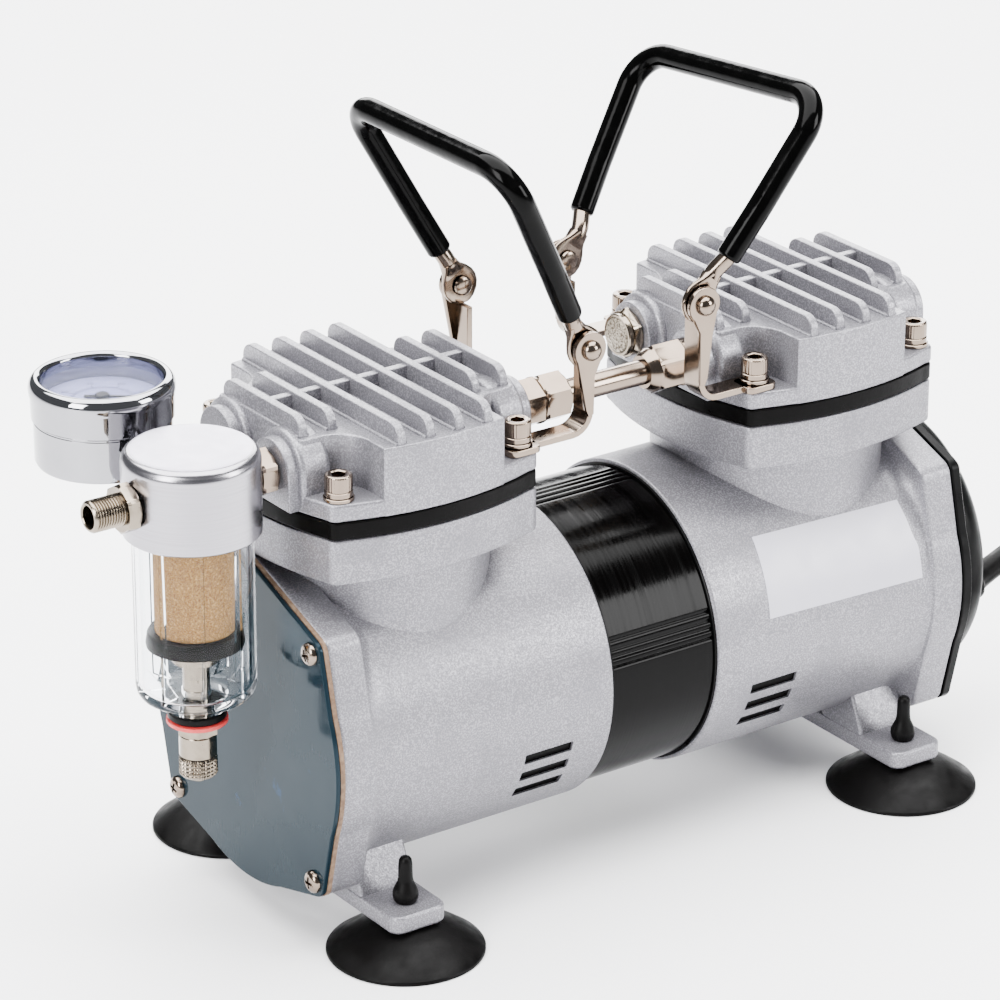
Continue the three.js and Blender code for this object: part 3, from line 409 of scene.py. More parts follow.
class Shape:
    """Collects closed shells, in millimetres, and makes one object of them."""

    def __init__(self, place=None):
        self.place = place or Matrix.Identity(4)
        self.points = []
        self.faces = []

    def add(self, points, faces, place=None):
        move = self.place @ place if place is not None else self.place
        start = len(self.points)
        self.points += [move @ Vector(point) for point in points]
        flip = move.to_3x3().determinant() < 0
        for face in faces:
            corners = [start + i for i in face]
            self.faces.append(corners[::-1] if flip else corners)

    def loft(self, rings, place=None, loop=False):
        """Joins rings of equal length. An open loft is capped at both ends, a looped one joins up."""
        count = len(rings[0])
        points = [point for ring in rings for point in ring]
        faces = []
        for k in range(len(rings) if loop else len(rings) - 1):
            a, b = k * count, ((k + 1) % len(rings)) * count
            for i in range(count):
                j = (i + 1) % count
                faces.append((a + i, a + j, b + j, b + i))
        if not loop:
            faces.append(tuple(reversed(range(count))))
            faces.append(tuple(range(len(points) - count, len(points))))
        self.add(points, faces, place)

    def turn(self, profile, place=None, sides=96, radius=None, loop=False):
        """Turns [radius, height] pairs about Z. A radius rule may reshape each ring by its angle."""
        rings = []
        for r, h in profile:
            ring = []
            for i in range(sides):
                angle = TAU * i / sides
                reach = radius(angle, r, h) if radius else r
                ring.append((reach * math.cos(angle), reach * math.sin(angle), h))
            rings.append(ring)
        self.loft(rings, place, loop)

    def slab(self, outline, low, high, edge=0.5, place=None, steps=3, flare=0.0):
        """Pushes a closed outline along Z, its rims rounded by the edge, its foot flared if asked."""
        rings = []
        for k in range(steps + 1):
            angle = math.pi / 2 * k / steps
            rings.append((edge * (1 - math.sin(angle)), low + edge * (1 - math.cos(angle))))
        if flare:
            rings = [(-flare, low)]
            for k in range(1, steps + 3):
                angle = math.pi / 2 * k / (steps + 2)
                rings.append((-flare * (1 - math.sin(angle)), low + flare * (1 - math.cos(angle))))
        for k in range(steps + 1):
            angle = math.pi / 2 * k / steps
            rings.append((edge * (1 - math.cos(angle)), high - edge * (1 - math.sin(angle))))
        self.loft([[(x, y, h) for x, y in inset(outline, by)] for by, h in rings], place)

    def sweep(self, line, radius, sides=24, ends=0.0):
        """A round bar along a line, its ends domed if asked."""
        line = [Vector(point) for point in line]
        stops = [(point, radius) for point in line]
        if ends:
            first = (line[0] - line[1]).normalized()
            last = (line[-1] - line[-2]).normalized()
            dome = [(ends * math.sin(a), radius - ends * (1 - math.cos(a))) for a in
                    (math.radians(d) for d in (30, 60, 85))]
            stops = [(line[0] + first * s, r) for s, r in reversed(dome)] + stops
            stops += [(line[-1] + last * s, r) for s, r in dome]
        rings = []
        side = None
        for k, (point, r) in enumerate(stops):
            before = stops[max(k - 1, 0)][0]
            after = stops[min(k + 1, len(stops) - 1)][0]
            along = (after - before).normalized()
            if side is None:
                side = along.orthogonal().normalized()
            side = (side - side.dot(along) * along).normalized()
            other = along.cross(side)
            rings.append([point + r * (math.cos(TAU * i / sides) * side + math.sin(TAU * i / sides) * other)
                          for i in range(sides)])
        self.loft(rings)

    def object(self, name, finish, body=None, replaces=(), slot=None, sharp=35):
        mesh = bpy.data.meshes.new(name)
        mesh.from_pydata([point * MM for point in self.points], [], self.faces)
        mesh.validate()
        mesh.polygons.foreach_set("use_smooth", [True] * len(mesh.polygons))
        mesh.set_sharp_from_angle(angle=math.radians(sharp))
        made = bpy.data.objects.new(name, mesh)
        bpy.context.scene.collection.objects.link(made)
        mesh.materials.append(FINISHES[finish])
        weigh_normals(made)
        if body:
            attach(made, body)
        if replaces:
            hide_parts(*replaces)
        return made


def inset(outline, by):
    """The closed outline moved inwards by the given distance. It runs anticlockwise."""
    if not by:
        return outline
    moved = []
    count = len(outline)
    for i in range(count):
        (ax, ay), (bx, by_), (cx, cy) = outline[i - 1], outline[i], outline[(i + 1) % count]
        first = Vector((bx - ax, by_ - ay)).normalized()
        second = Vector((cx - bx, cy - by_)).normalized()
        inward = Vector((-first.y - second.y, first.x + second.x))
        if inward.length < 1e-6:
            moved.append((bx, by_))
            continue
        inward.normalize()
        lean = max(0.35, inward.dot(Vector((-first.y, first.x))))
        moved.append((bx + inward.x * by / lean, by_ + inward.y * by / lean))
    return moved


def rounded(corners, radius, steps=5, closed=True):
    """A polygon or open line whose corners are rounded. The radius may differ for each corner."""
    count = len(corners)
    radii = radius if isinstance(radius, (list, tuple)) else [radius] * count
    line = []
    for i, corner in enumerate(corners):
        if not closed and i in (0, count - 1) or not radii[i]:
            line.append(tuple(corner))
            continue
        here = Vector(corner)
        back = Vector(corners[i - 1]) - here
        on = Vector(corners[(i + 1) % count]) - here
        half = back.angle(on) / 2
        reach = min(radii[i] / math.tan(half), back.length * 0.49, on.length * 0.49)
        r = reach * math.tan(half)
        start, end = here + back.normalized() * reach, here + on.normalized() * reach
        centre = here + (back.normalized() + on.normalized()).normalized() * (r / math.sin(half))
        a, b = start - centre, end - centre
        toward = (b - a * (a.dot(b) / a.length_squared)).normalized() * r
        for k in range(steps + 1):
            angle = a.angle(b) * k / steps
            line.append(tuple(centre + a * math.cos(angle) + toward * math.sin(angle)))
    return line


def arc(centre, radius, start, end, steps):
    """Points of an arc, in degrees."""
    cx, cy = centre
    angles = [math.radians(start + (end - start) * k / steps) for k in range(steps + 1)]
    return [(cx + radius * math.cos(a), cy + radius * math.sin(a)) for a in angles]


def circle(radius, count=48, centre=(0, 0)):
    return arc(centre, radius, 0, 360 * (count - 1) / count, count - 1)


def rectangle(left, right, low, high):
    return [(left, low), (right, low), (right, high), (left, high)]


def hexagon(angle, flats):
    """How far a hexagon bar reaches at an angle. Flats is the distance across it."""
    return flats / 2 / math.cos((angle % (TAU / 6)) - TAU / 12)


def at_height(ring, height):
    return [(x, y, height) for x, y in ring]


def smooth_line(points, step):
    """A centripetal curve through the points, with a stop about every step."""
    points = [Vector(point) for point in points]
    ends = [2 * points[0] - points[1]] + points + [2 * points[-1] - points[-2]]
    line = [points[0]]
    for a, b, c, d in zip(ends, ends[1:], ends[2:], ends[3:]):
        count = max(2, round((c - b).length / step))
        for k in range(1, count + 1):
            t = k / count
            line.append(0.5 * (2 * b + (c - a) * t + (2 * a - 5 * b + 4 * c - d) * t * t
                               + (3 * b - a - 3 * c + d) * t ** 3))
    return line


# ---------------------------------------------------------------- the mains lead

CORD_R = 3.5
CORD_PITCH = 7.0
RELIEF_ROOT = Vector((FEET_X + 137, -34.8, 55))
RELIEF_END = Vector((FEET_X + 161, -29.1, 59.4))
CORD_ROUTE = [
    (161.3, -29, 59.45), (167, -27.7, 60.3), (173, -26.4, 60.6), (179, -25.2, 60), (185, -24.2, 58),
    (190.5, -23.4, 54.6), (195, -22.9, 50), (198.8, -22.5, 44.5), (202, -22.3, 38.5), (205, -22.1, 32),
    (208, -22, 25.6), (211.4, -22, 19.4), (215.5, -22, 13.6), (220.6, -22, 8.9), (226.5, -22, 5.6),
    (233, -22, 3.9), (239.5, -22, 3.5), (244.5, -22, 3.5), (258, -22, 3.5),
]
COIL_X, COIL_Y = FEET_X + 271, -68
COIL_OUTER = 46
LOWER_DEGREES, WINDING_DEGREES = 1080, 1980
PLUG_X, PLUG_Y = COIL_X - 28.2, COIL_Y - COIL_OUTER
CORD_TAIL = ((-10, 10.3), (-20, 9.3), (-29, 8.6), (-36, 8.5))


def winding(degrees):
    """Radius and height of the coil's line: three turns inwards on the floor, then outwards on top."""
    inner = COIL_OUTER - 2 * CORD_PITCH
    if degrees <= LOWER_DEGREES:
        turns = min(degrees // 360, 2)
        share = min(max((degrees - 360 * turns - 240) / 120, 0), 1)
        quarter = math.radians(90 * share)
        if turns < 2:
            return COIL_OUTER - CORD_PITCH * (turns + 1 - math.cos(quarter)), CORD_R
        return inner, CORD_R + CORD_PITCH * math.sin(quarter)
    above = degrees - LOWER_DEGREES
    turns = min(above // 360, 1)
    share = min(max((above - 360 * turns - 120) / 120, 0), 1)
    eased = share * share * (3 - 2 * share)
    return inner + CORD_PITCH * (turns + eased), CORD_R + CORD_PITCH


def cord_line():
    points = [tuple(RELIEF_ROOT), tuple((RELIEF_ROOT + RELIEF_END) / 2)]
    points += [(x + FEET_X, y, z) for x, y, z in CORD_ROUTE]
    for degrees in range(0, WINDING_DEGREES + 1, 15):
        reach, height = winding(degrees)
        angle = math.radians(90 - degrees)
        points.append((COIL_X + reach * math.cos(angle), COIL_Y + reach * math.sin(angle), height))
    points += [(COIL_X + x, PLUG_Y, z) for x, z in CORD_TAIL]
    return smooth_line(points, 2.5)


def strain_relief():
    relief = Shape(frame_along(RELIEF_ROOT, RELIEF_END - RELIEF_ROOT))
    length = (RELIEF_END - RELIEF_ROOT).length
    profile = [(5.0, -1.5), (5.7, -1.2), (5.7, 1.8), (5.2, 2.4), (4.3, 4), (4.1, 8), (3.85, length - 0.3),
               (3.6, length)]
    relief.turn(profile, sides=48)
    return relief.object("strain_relief_boot", "black_rubber", "pump_body", ["strain_relief"], "black_rubber")


def mains_plug():
    place = Matrix.Translation((PLUG_X, PLUG_Y, 8.5))
    body = Shape(place)
    grip = rounded([(-48, -16.8), (-34, -16.8), (-17, -7.6), (-17, 7.6), (-34, 16.8), (-48, 16.8)], 5)
    body.slab(grip, -8.3, 8.3, 2.2)
    ribs = [(4.2, 0)]
    for k in range(5):
        out, on = 0.3 * k, 3.4 * k
        ribs += [(4.4 + out, 0.4 + on), (4.5 + out, 2.4 + on), (3.9 + out, 2.6 + on), (3.9 + out, 3.5 + on)]
    body.turn(ribs + [(6, 18), (6, 19)], frame_along((0, 0, 0), (-1, 0, 0)), 40)
    plug_body = body.object("plug_body", "black_plastic", "pump_body", ["plug"], "black_plastic")
    pins = Shape(place)
    pin = [(1.98, 47), (1.98, 65.5), (1.6, 66.5), (0.8, 67)]
    for y in (-9.5, 9.5):
        pins.turn(pin, frame_along((0, y, 0), (-1, 0, 0)), 28)
    return [plug_body, pins.object("plug_pins", "nickel", "pump_body", slot="nickel")]


def coil_tie():
    """A soft strap round the bundle of turns."""
    angle = math.radians(20)
    out = Vector((math.cos(angle), math.sin(angle), 0))
    centre = Vector((COIL_X, COIL_Y, 7)) + out * (COIL_OUTER - CORD_PITCH)
    section = rounded(rectangle(-10.9, 10.9, -6.3, 7.4), 3.4, 6)
    outer = inset(section, -0.6)
    along = Vector((-out.y, out.x, 0))
    tie = Shape(Matrix.Translation(centre))
    rings = []
    for loop, width in ((outer, -4.5), (outer, 4.5), (section, 4.5), (section, -4.5)):
        rings.append([out * a + Vector((0, 0, b)) + along * width for a, b in loop])
    tie.loft(rings, loop=True)
    return tie.object("coil_tie", "black_rubber", "pump_body", slot="black_rubber")


def mains_lead():
    line = cord_line()
    cord = Shape()
    cord.sweep(line, CORD_R, 16)
    nodes = ["power_cord", "cord_coil"]
    jacket = cord.object("mains_cord", "cord_jacket", "pump_body", nodes, "cord_jacket", 60)
    pieces = [strain_relief(), coil_tie(), *mains_plug()]


mains_lead()


# ---------------------------------------------------------------- the two crankcase units

def unit(end, x, turn, joint, face):
    foot = abs(middle(f"{end}_suction_foot_1", 0) - x)
    place = Matrix.Translation((x, 0, 0)) @ Matrix.Rotation(turn, 4, "Z")
    return {"x": x, "place": place, "joint": joint, "face": face, "foot": foot}


UNITS = {
    "front": unit("front", FRONT_X, 0, FRONT_JOINT - FRONT_X, FRONT_X - FRONT_END),
    "rear": unit("rear", REAR_X, math.pi, REAR_X - REAR_JOINT, REAR_END - REAR_X),
}

BARREL_R = 50
CAVITY_R = 44
DECK_LOW, DECK_TOP = 120.05, 134.25
PLATE_LOW, PLATE_TOP = 134.55, 139.95
HEAD_LOW, FLANGE_TOP, ROOF, FIN_TOP = 140.25, 145.8, 162, 168
BOLT_X, BOLT_Y = 32.2, 33.7
PORT_FACE = 44
PORT_BOSS_R = 9.8
FIN_X = (5.15, 15.5, 25.8, 36)
FOOT_Y = 50.6
FLANGE_DEPTH = 12
CORNER_Y, CORNER_Z = 38.8, 37.8
SHAFT_AXIS = frame_along((0, 0, SHAFT_Z), (1, 0, 0))


def polar(outline, count):
    """The outline read off at even angles about its middle, from where all of it is seen."""
    ring = []
    for i in range(count):
        way = Vector((math.cos(TAU * i / count), math.sin(TAU * i / count)))
        for a, b in zip(outline, outline[1:] + outline[:1]):
            a, b = Vector(a), Vector(b)
            before, after = way.cross(a), way.cross(b)
            if before <= 0 < after and way.dot(a + b) > 0:
                ring.append(tuple(a.lerp(b, before / (before - after))))
                break
    return ring


def square_outline():
    """The bulging square shared by the deck, valve plate and head, its four corners rounded."""
    half_x, half_y, bulge, reach = 36.5, 37.5, 7, 3
    side_x = half_x + bulge * (1 - ((half_y - reach) / half_y) ** 2)
    side_y = half_y + bulge * (1 - ((half_x - reach) / half_x) ** 2)
    steps = 14
    long_x = [(side_x + (half_x + bulge - side_x) * (1 - (k / steps) ** 2), (half_y - reach) * k / steps)
              for k in range(-steps, steps + 1)]
    long_y = [(-(half_x - reach) * k / steps, side_y + (half_y + bulge - side_y) * (1 - (k / steps) ** 2))
              for k in range(-steps, steps + 1)]
    corners = long_x + long_y + [(-x, -y) for x, y in long_x] + [(-x, -y) for x, y in long_y]
    softened = []
    for k, (x, y) in enumerate(corners):
        softened.append((x, y))
        if k % (2 * steps + 1) == 2 * steps:
            nx, ny = corners[(k + 1) % len(corners)]
            cx, cy = (x, ny) if abs(x) > abs(nx) else (nx, y)
            for t in (0.25, 0.5, 0.75):
                softened.append((
                    (1 - t) ** 2 * x + 2 * t * (1 - t) * cx + t * t * nx,
                    (1 - t) ** 2 * y + 2 * t * (1 - t) * cy + t * t * ny,
                ))
    return softened


def end_outline():
    """The end flange about the shaft: round below and at the sides, four corners, a low ridge on top."""
    line = arc((0, 0), 52, -22, 22, 14)
    line += arc((CORNER_Y, CORNER_Z), 5, 22, 68, 6)
    line += [(4, 55.6), (0, 56), (-4, 55.6)]
    line += arc((-CORNER_Y, CORNER_Z), 5, 112, 158, 6)
    line += arc((0, 0), 52, 158, 202, 14)
    line += arc((-CORNER_Y, -CORNER_Z), 5, 202, 248, 6)
    line += arc((0, 0), 52, 248, 292, 14)
    return line + arc((CORNER_Y, -CORNER_Z), 5, 292, 338, 6)


def scaled(ring, other, share):
    return [(a + (c - a) * share, b + (d - b) * share) for (a, b), (c, d) in zip(ring, other)]


def carve(made, cutter):
    """Takes the cutter's shape out of the object and drops the cutter."""
    modifier = made.modifiers.new("carve", "BOOLEAN")
    modifier.operation = "DIFFERENCE"
    modifier.object = cutter
    modifier.solver = "EXACT"
    bpy.context.view_layer.update()
    carved = bpy.data.meshes.new_from_object(made.evaluated_get(bpy.context.evaluated_depsgraph_get()))
    made.modifiers.clear()
    made.data = carved
    bpy.data.objects.remove(cutter)
    carved.set_sharp_from_angle(angle=math.radians(35))
    weigh_normals(made)


LOUVRES = ((47.6, 49.6), (45.4, 42.8), (41.6, 36))


def barrel(end):
    """The crankcase barrel, recessed for the stator, with cooling slots low on both sides."""
    place, joint, face = (UNITS[end][key] for key in ("place", "joint", "face"))
    shell = Shape(place)
    shell.turn([
        (49.1, 1 - face), (49.4, 1 - face), (BARREL_R, 1.6 - face), (BARREL_R, joint - 0.9),
        (49.7, joint - 0.3), (49.2, joint), (48.5, joint), (48.5, joint - 5), (49.1, joint - 5),
    ], SHAFT_AXIS, 192, loop=True)
    made = shell.object(f"{end}_barrel", "silver_paint", "pump_body", [f"{end}_housing"], "silver_paint")
    cutter = Shape(place)
    for side in (-1, 1):
        for y, z in LOUVRES:
            slot = rounded(rectangle(joint - 32.5, joint - 14.5, z - 1.8, z + 1.8), 0.35, 2)
            cutter.slab(slot, -side * y - 7, -side * y + 7, 0.2, across())
    carve(made, cutter.object(f"{end}_slots", "silver_paint"))
    # A black sheet just inside the barrel wall, behind the cooling slots: painted shade, so the slots look
    # dark inside.
    shade_sheet = Shape(place)
    shade_sheet.turn(rectangle(48.2, 49, joint - 37, joint - 8), SHAFT_AXIS, 144, loop=True)
    shade_sheet.object(f"{end}_slot_painted_shade", "black_coat", "pump_body", slot="black_plastic")


def end_block(casting, face):
    """The screw block at the barrel's open end, running back into the barrel with a hollow fillet."""
    count = 288
    outline = polar(end_outline(), count)
    low = sideways((-face, 0, SHAFT_Z))
    edges = ((1.0, 0), (0.3, 0.3), (0, 1.0), (0, 10.8), (0.4, 11.7))
    rings = [at_height(inset(outline, by), h) for by, h in edges]
    near = inset(outline, 1.2)
    wall = circle(BARREL_R + 0.03, count)
    for k in range(7):
        angle = math.pi / 2 * k / 6
        rings.append(at_height(scaled(near, wall, math.sin(angle)), FLANGE_DEPTH + 7 * (1 - math.cos(angle))))
    for r, h in ((49, FLANGE_DEPTH + 7.2), (CAVITY_R, FLANGE_DEPTH + 7.2), (CAVITY_R, 0)):
        rings.append(at_height(circle(r, count), h))
    casting.loft(rings, low, loop=True)


def deck(casting):
    """The bulging square the cylinder bolts to, and the neck that joins it to the barrel."""
    count = 240
    outline = polar(square_outline(), count)
    rings = [at_height(inset(outline, by), h) for by, h in (
        (0.9, DECK_LOW), (0.3, DECK_LOW + 0.2), (0, DECK_LOW + 0.8), (0, DECK_LOW + 3),
        (0, DECK_TOP - 0.9), (0.25, DECK_TOP - 0.25), (0.9, DECK_TOP),
    )]
    rings += [at_height(circle(23.3, count), h) for h in (DECK_TOP, DECK_LOW)]
    casting.loft(rings, loop=True)
    casting.turn([(24, 95), (37.5, 95), (37.5, 119.2), (37.8, 119.9), (38.4, 120.3), (38.4, 121), (24, 121)],
                 sides=144, loop=True)


def foot_arm(casting, foot):
    """A bar across the casting with tabs for the feet, and gussets that rise to the barrel."""
    half = 9.9
    casting.slab(rounded(rectangle(-foot - half, -foot + half, -59.5, 59.5), 4, 6), 10.5, 16.3, 1.0)
    gusset = [(24, 11.2), (41.8, 11.2), (41.2, 15.6), (40.2, 18.4), (35.9, 28.2), (33.6, 30.4)]
    gusset += [(y, z + SHAFT_Z) for y, z in arc((0, 0), 47, -46, -68, 6)]
    for side in (-1, 1):
        line = gusset if side > 0 else [(-y, z) for y, z in reversed(gusset)]
        casting.slab(line, -foot - half + 0.3, -foot + half - 0.3, 1.2, sideways())


def housing(end):
    place, face, foot = (UNITS[end][key] for key in ("place", "face", "foot"))
    barrel(end)
    casting = Shape(place)
    end_block(casting, face)
    deck(casting)
    foot_arm(casting, foot)
    casting.turn(rectangle(6.4, 45, 26, 36), SHAFT_AXIS, 96, loop=True)
    nodes = [f"{end}_housing", f"{end}_deck"]
    casting.object(f"{end}_casting", "silver_paint", "pump_body", nodes, "silver_paint")


def block_outline():
    """The head's middle: flat ends, bulging sides and a round pocket at each bolt."""
    half, pocket = 38.5, 10.6
    corner = [(half, -BOLT_Y + pocket + 1.2), (half, BOLT_Y - pocket - 1.2), (half - 1.2, BOLT_Y - pocket)]
    corner += arc((BOLT_X, BOLT_Y), pocket, 270, 180, 10)
    corner += [(BOLT_X - pocket, 42.0), (BOLT_X - pocket - 0.4, 42.35)]
    side = [(x, 44.65 - 5.9 * (x / 33.5) ** 2) for x in (17, 13, 9, 4.5, 0, -4.5, -9, -13, -17)]
    left = [(-x, y) for x, y in reversed(corner[3:])] + [(-half + 1.2, BOLT_Y - pocket)]
    top = corner + side + left
    return top + [(-x, -y) for x, y in top]


def fin_outline(reach):
    low, high, turn = ROOF - 4, FIN_TOP, 4.5
    line = [(-reach, low), (reach, low)]
    line += arc((reach - turn, high - turn), turn, 0, 90, 8)
    return line + arc((turn - reach, high - turn), turn, 90, 180, 8)


def root_outline(outline):
    """The thicker foot of a fin, just above the roof."""
    reach = max(x for x, _ in outline) - 0.4
    return rectangle(-reach, reach, ROOF - 3, ROOF + 0.8)


def port_outline(row, radius):
    """An upright arch that carries a pipe port."""
    return [(row * PORT_Y - radius, HEAD_LOW + 0.5), (row * PORT_Y + radius, HEAD_LOW + 0.5),
            *arc((row * PORT_Y, PORT_Z), radius, 0, 180, 24)]


def head(end):
    casting = Shape(UNITS[end]["place"])
    casting.slab(square_outline(), HEAD_LOW, FLANGE_TOP, 0.9)
    casting.slab(block_outline(), HEAD_LOW + 0.05, ROOF, 0.6)
    for k, x in enumerate(FIN_X):
        for side in (-1, 1):
            outline = fin_outline(42.6 if k < 2 else 21.2)
            casting.slab(outline, side * x - 1.45, side * x + 1.45, 0.4, sideways())
            casting.slab(root_outline(outline), side * x - 2.4, side * x + 2.4, 0.9, sideways())
    casting.slab(rounded(rectangle(-35.2, 35.2, -1.3, 1.3), 1.0, 3), ROOF - 2, FIN_TOP - 0.9, 0.35)
    bosses = ((PORT_BOSS_R, PORT_FACE, 0.6), (PORT_BOSS_R + 2.2, PORT_FACE - 3.4, 1.8))
    for row in (-1, 1):
        for side in (-1, 1):
            for radius, face, edge in bosses:
                ends = sorted((side * 30, side * face))
                casting.slab(port_outline(row, radius), *ends, edge, sideways())
    casting.object(f"{end}_finned_head", "machined_paint", "pump_body", [f"{end}_head"], "silver_paint")


def valve_plate(end):
    plate = Shape(UNITS[end]["place"])
    plate.slab(inset(square_outline(), 0.1), PLATE_LOW, PLATE_TOP, 0.5)
    plate.slab(inset(square_outline(), 1.3), DECK_TOP - 0.1, HEAD_LOW + 0.1, 0.1)
    plate.object(f"{end}_valve_plate_body", "black_coat", "pump_body", [f"{end}_valve_plate"], "black_plate")


KNURL_R = 4.25
SOCKET_RADII = (2.3, 2.29)


def socket_rule(angle, r, h):
    """Knurls the screw's head and gives its socket six sides."""
    if r in SOCKET_RADII:
        return hexagon(angle, 4)
    return r - 0.12 * (0.5 + 0.5 * math.cos(30 * angle)) if r == KNURL_R else r


def bolt_profile(seat):
    """A shank, a flat washer, a spring washer and a knurled head, then down into its socket."""
    flat, lock, top = seat + 1.1, seat + 3.1, seat + 8.1
    washer = [(4.5, seat), (4.7, seat + 0.15), (4.7, flat - 0.15), (4.5, flat), (3.8, flat)]
    spring = [(3.8, flat + 0.15), (4.1, flat + 0.15), (4.3, flat + 0.35), (4.3, lock - 0.3),
              (4.1, lock - 0.1), (3.9, lock - 0.05)]
    head = [(3.9, lock + 0.05), (4.1, lock + 0.15), (KNURL_R, lock + 0.5), (KNURL_R, top - 0.7),
            (4.0, top - 0.25), (3.6, top), (2.6, top)]
    socket = list(zip(SOCKET_RADII, (top - 0.25, top - 2.8)))
    return [(2.4, seat - 9), (2.4, seat)] + washer + spring + head + socket


def head_bolts(end):
    profile = bolt_profile(FLANGE_TOP + 0.1)
    for k, (x, y) in enumerate(((-1, -1), (1, -1), (1, 1), (-1, 1)), 1):
        raised = 2.3 if x > 0 else 0  # a handle bracket lies under the inner pair
        screw = Shape(UNITS[end]["place"])
        screw.turn(profile, Matrix.Translation((x * BOLT_X, y * BOLT_Y, raised)), 120, socket_rule)
        name = f"{end}_head_bolt_{k}"
        screw.object(f"{name}_screw", "nickel", "pump_body", [name], "nickel")


def suction_feet(end):
    profile = [
        (0.4, 5.2), (6, 5.1), (12, 4.6), (17, 2.8), (22.6, 0.1), (23.2, 0), (24.2, 0), (24.5, 0.25),
        (24.5, 0.9), (24.2, 1.35), (22.6, 2.5), (20.2, 4.2), (17.5, 5.9), (14.2, 7.7), (11, 9.0), (8, 9.8),
        (5.5, 10.3), (3, 10.45), (3, 16.2), (3.35, 16.6), (3.8, 17.4), (4.0, 18.6), (3.9, 19.8), (3.4, 21.2),
        (2.6, 22.8), (2.3, 24), (2.2, 26), (2.15, 29.2), (1.95, 30.5), (1.4, 31.3), (0.5, 31.6),
    ]
    for k, side in ((1, -1), (2, 1)):
        foot = Shape(UNITS[end]["place"] @ Matrix.Translation((-UNITS[end]["foot"], side * FOOT_Y, 0)))
        foot.turn(profile, sides=96)
        name = f"{end}_suction_foot_{k}"
        foot.object(f"{name}_cup", "black_rubber", "pump_body", [name], "black_rubber", 50)


# ---------------------------------------------------------------- pipes between the heads

HEX_R = 8.0
PORT_LINE = frame_along((0, -PORT_Y, PORT_Z), (1, 0, 0))
FRONT_PORT, REAR_PORT = FRONT_X + PORT_FACE, REAR_X - PORT_FACE


def hex_nut(shape, place, low, high, radius=HEX_R, chamfer=0.7):
    """A chamfered hexagon about the place's Z."""
    flats = radius * math.sqrt(3)
    inner, rim = flats / 2 - 0.1, radius + 0.05
    profile = [(inner, low), (rim, low + chamfer), (rim, high - chamfer), (inner, high)]
    shape.turn(profile, place, 96, lambda angle, r, h: min(hexagon(angle, flats), r))


def head_tube():
    low, high = FRONT_PORT + 3, REAR_PORT - 3
    tube = Shape(PORT_LINE)
    tube.turn([(3.9, low), (4, low + 0.1), (4, high - 0.1), (3.9, high)], sides=64)
    tube.object("head_tube", "nickel", "pump_body", ["cross_tube"], "nickel")


def front_union():
    at = FRONT_PORT
    union = Shape(PORT_LINE)
    hex_nut(union, None, at + 0.3, at + 8)
    union.turn([(7.2, at + 7.7), (7.4, at + 7.8), (7.4, at + 8.5), (7.2, at + 8.6)], sides=64)
    hex_nut(union, None, at + 8.4, at + 17.6)
    union.turn([(6, at + 17), (6, at + 17.8), (5.6, at + 18.1), (4.1, at + 18.2)], sides=64)
    union.turn([(4.6, at - 6), (4.6, at + 1)], sides=48)
    union.object("front_tube_union", "nickel", "pump_body", ["front_tube_nut"], "nickel")


def rear_union():
    at = REAR_PORT
    union = Shape(PORT_LINE)
    union.turn([(7.1, at - 4), (7.4, at - 3.7), (7.4, at - 0.6), (7.1, at - 0.3)], sides=64)
    hex_nut(union, None, at - 15, at - 3.5)
    cone = [(4.1, at - 18.2), (5.2, at - 18.1), (5.6, at - 17.6), (6.9, at - 15.6), (7, at - 14.6)]
    union.turn(cone, sides=64)
    union.turn([(4.6, at - 1), (4.6, at + 6)], sides=48)
    union.object("rear_tube_union", "nickel", "pump_body", ["rear_tube_nut"], "nickel")


def muffler(end):
    """A hexagon plug with a porous disc, on whichever side of its head the frame has it."""
    facing = 1 if end == "front" else -1
    row = math.copysign(1, facing * middle(f"{end}_muffler", 1))
    place = UNITS[end]["place"] @ frame_along((PORT_FACE, row * PORT_Y, PORT_Z), (1, 0, 0))
    body = Shape(place)
    body.turn([(4.6, -6), (4.6, 0.3)], sides=48)
    hex_nut(body, None, 0.3, 3.4, 8.6, 0.9)
    body.turn([(6.9, 3.2), (6.9, 5.0), (6.6, 5.4), (5.9, 5.4), (5.7, 5.0)], sides=72)
    nodes = [f"{end}_muffler"]
    body.object(f"{end}_muffler_body", "plated_brass", "pump_body", nodes, "sintered_bronze")
    disc = Shape(place)
    disc.turn([(5.7, 4.6), (5.7, 5.4), (5.3, 5.8), (3, 6.1), (0.4, 6.2)], sides=72)
    disc.object(f"{end}_muffler_disc", "sintered_bronze", "pump_body", nodes, "sintered_bronze")


# ---------------------------------------------------------------- motor

GROOVES = [band + line for band in (90, 15, -90) for line in (-5.1, -1.7, 1.7, 5.1)]


def grooved(angle, r, h):
    """Axial grooves round the laminations, each at its height in degrees above the level."""
    if r < 48:
        return r
    out = SHAFT_AXIS.to_3x3() @ Vector((math.cos(angle), math.sin(angle), 0))
    height = math.degrees(math.atan2(out.z, abs(out.y)))
    return r - 0.55 * min(sum(math.exp(-((height - line) / 0.55) ** 2) for line in GROOVES), 1)


def stator():
    low, high = (corner[0] for corner in low_high("stator_core"))
    body = Shape(SHAFT_AXIS)
    body.turn([
        (25.8, low), (48.2, low), (48.2, FRONT_JOINT - 0.6),
        (48.2, REAR_JOINT + 0.6), (48.2, high), (25.8, high),
    ], sides=720, radius=grooved, loop=True)
    nodes = ["stator_core"]
    body.object("stator_laminations", "black_varnish", "pump_body", nodes, "black_laminate", 50)
    seals = Shape(SHAFT_AXIS)
    for x, way in ((FRONT_JOINT, 1), (REAR_JOINT, -1)):
        ends = sorted((x - way * 0.2, x + way * 0.8))
        seals.turn(rectangle(48.1, 48.9, *ends), sides=192, loop=True)
    seals.object("stator_seals", "black_plastic", "pump_body", slot="black_plastic")


# ---------------------------------------------------------------- end plate and cover

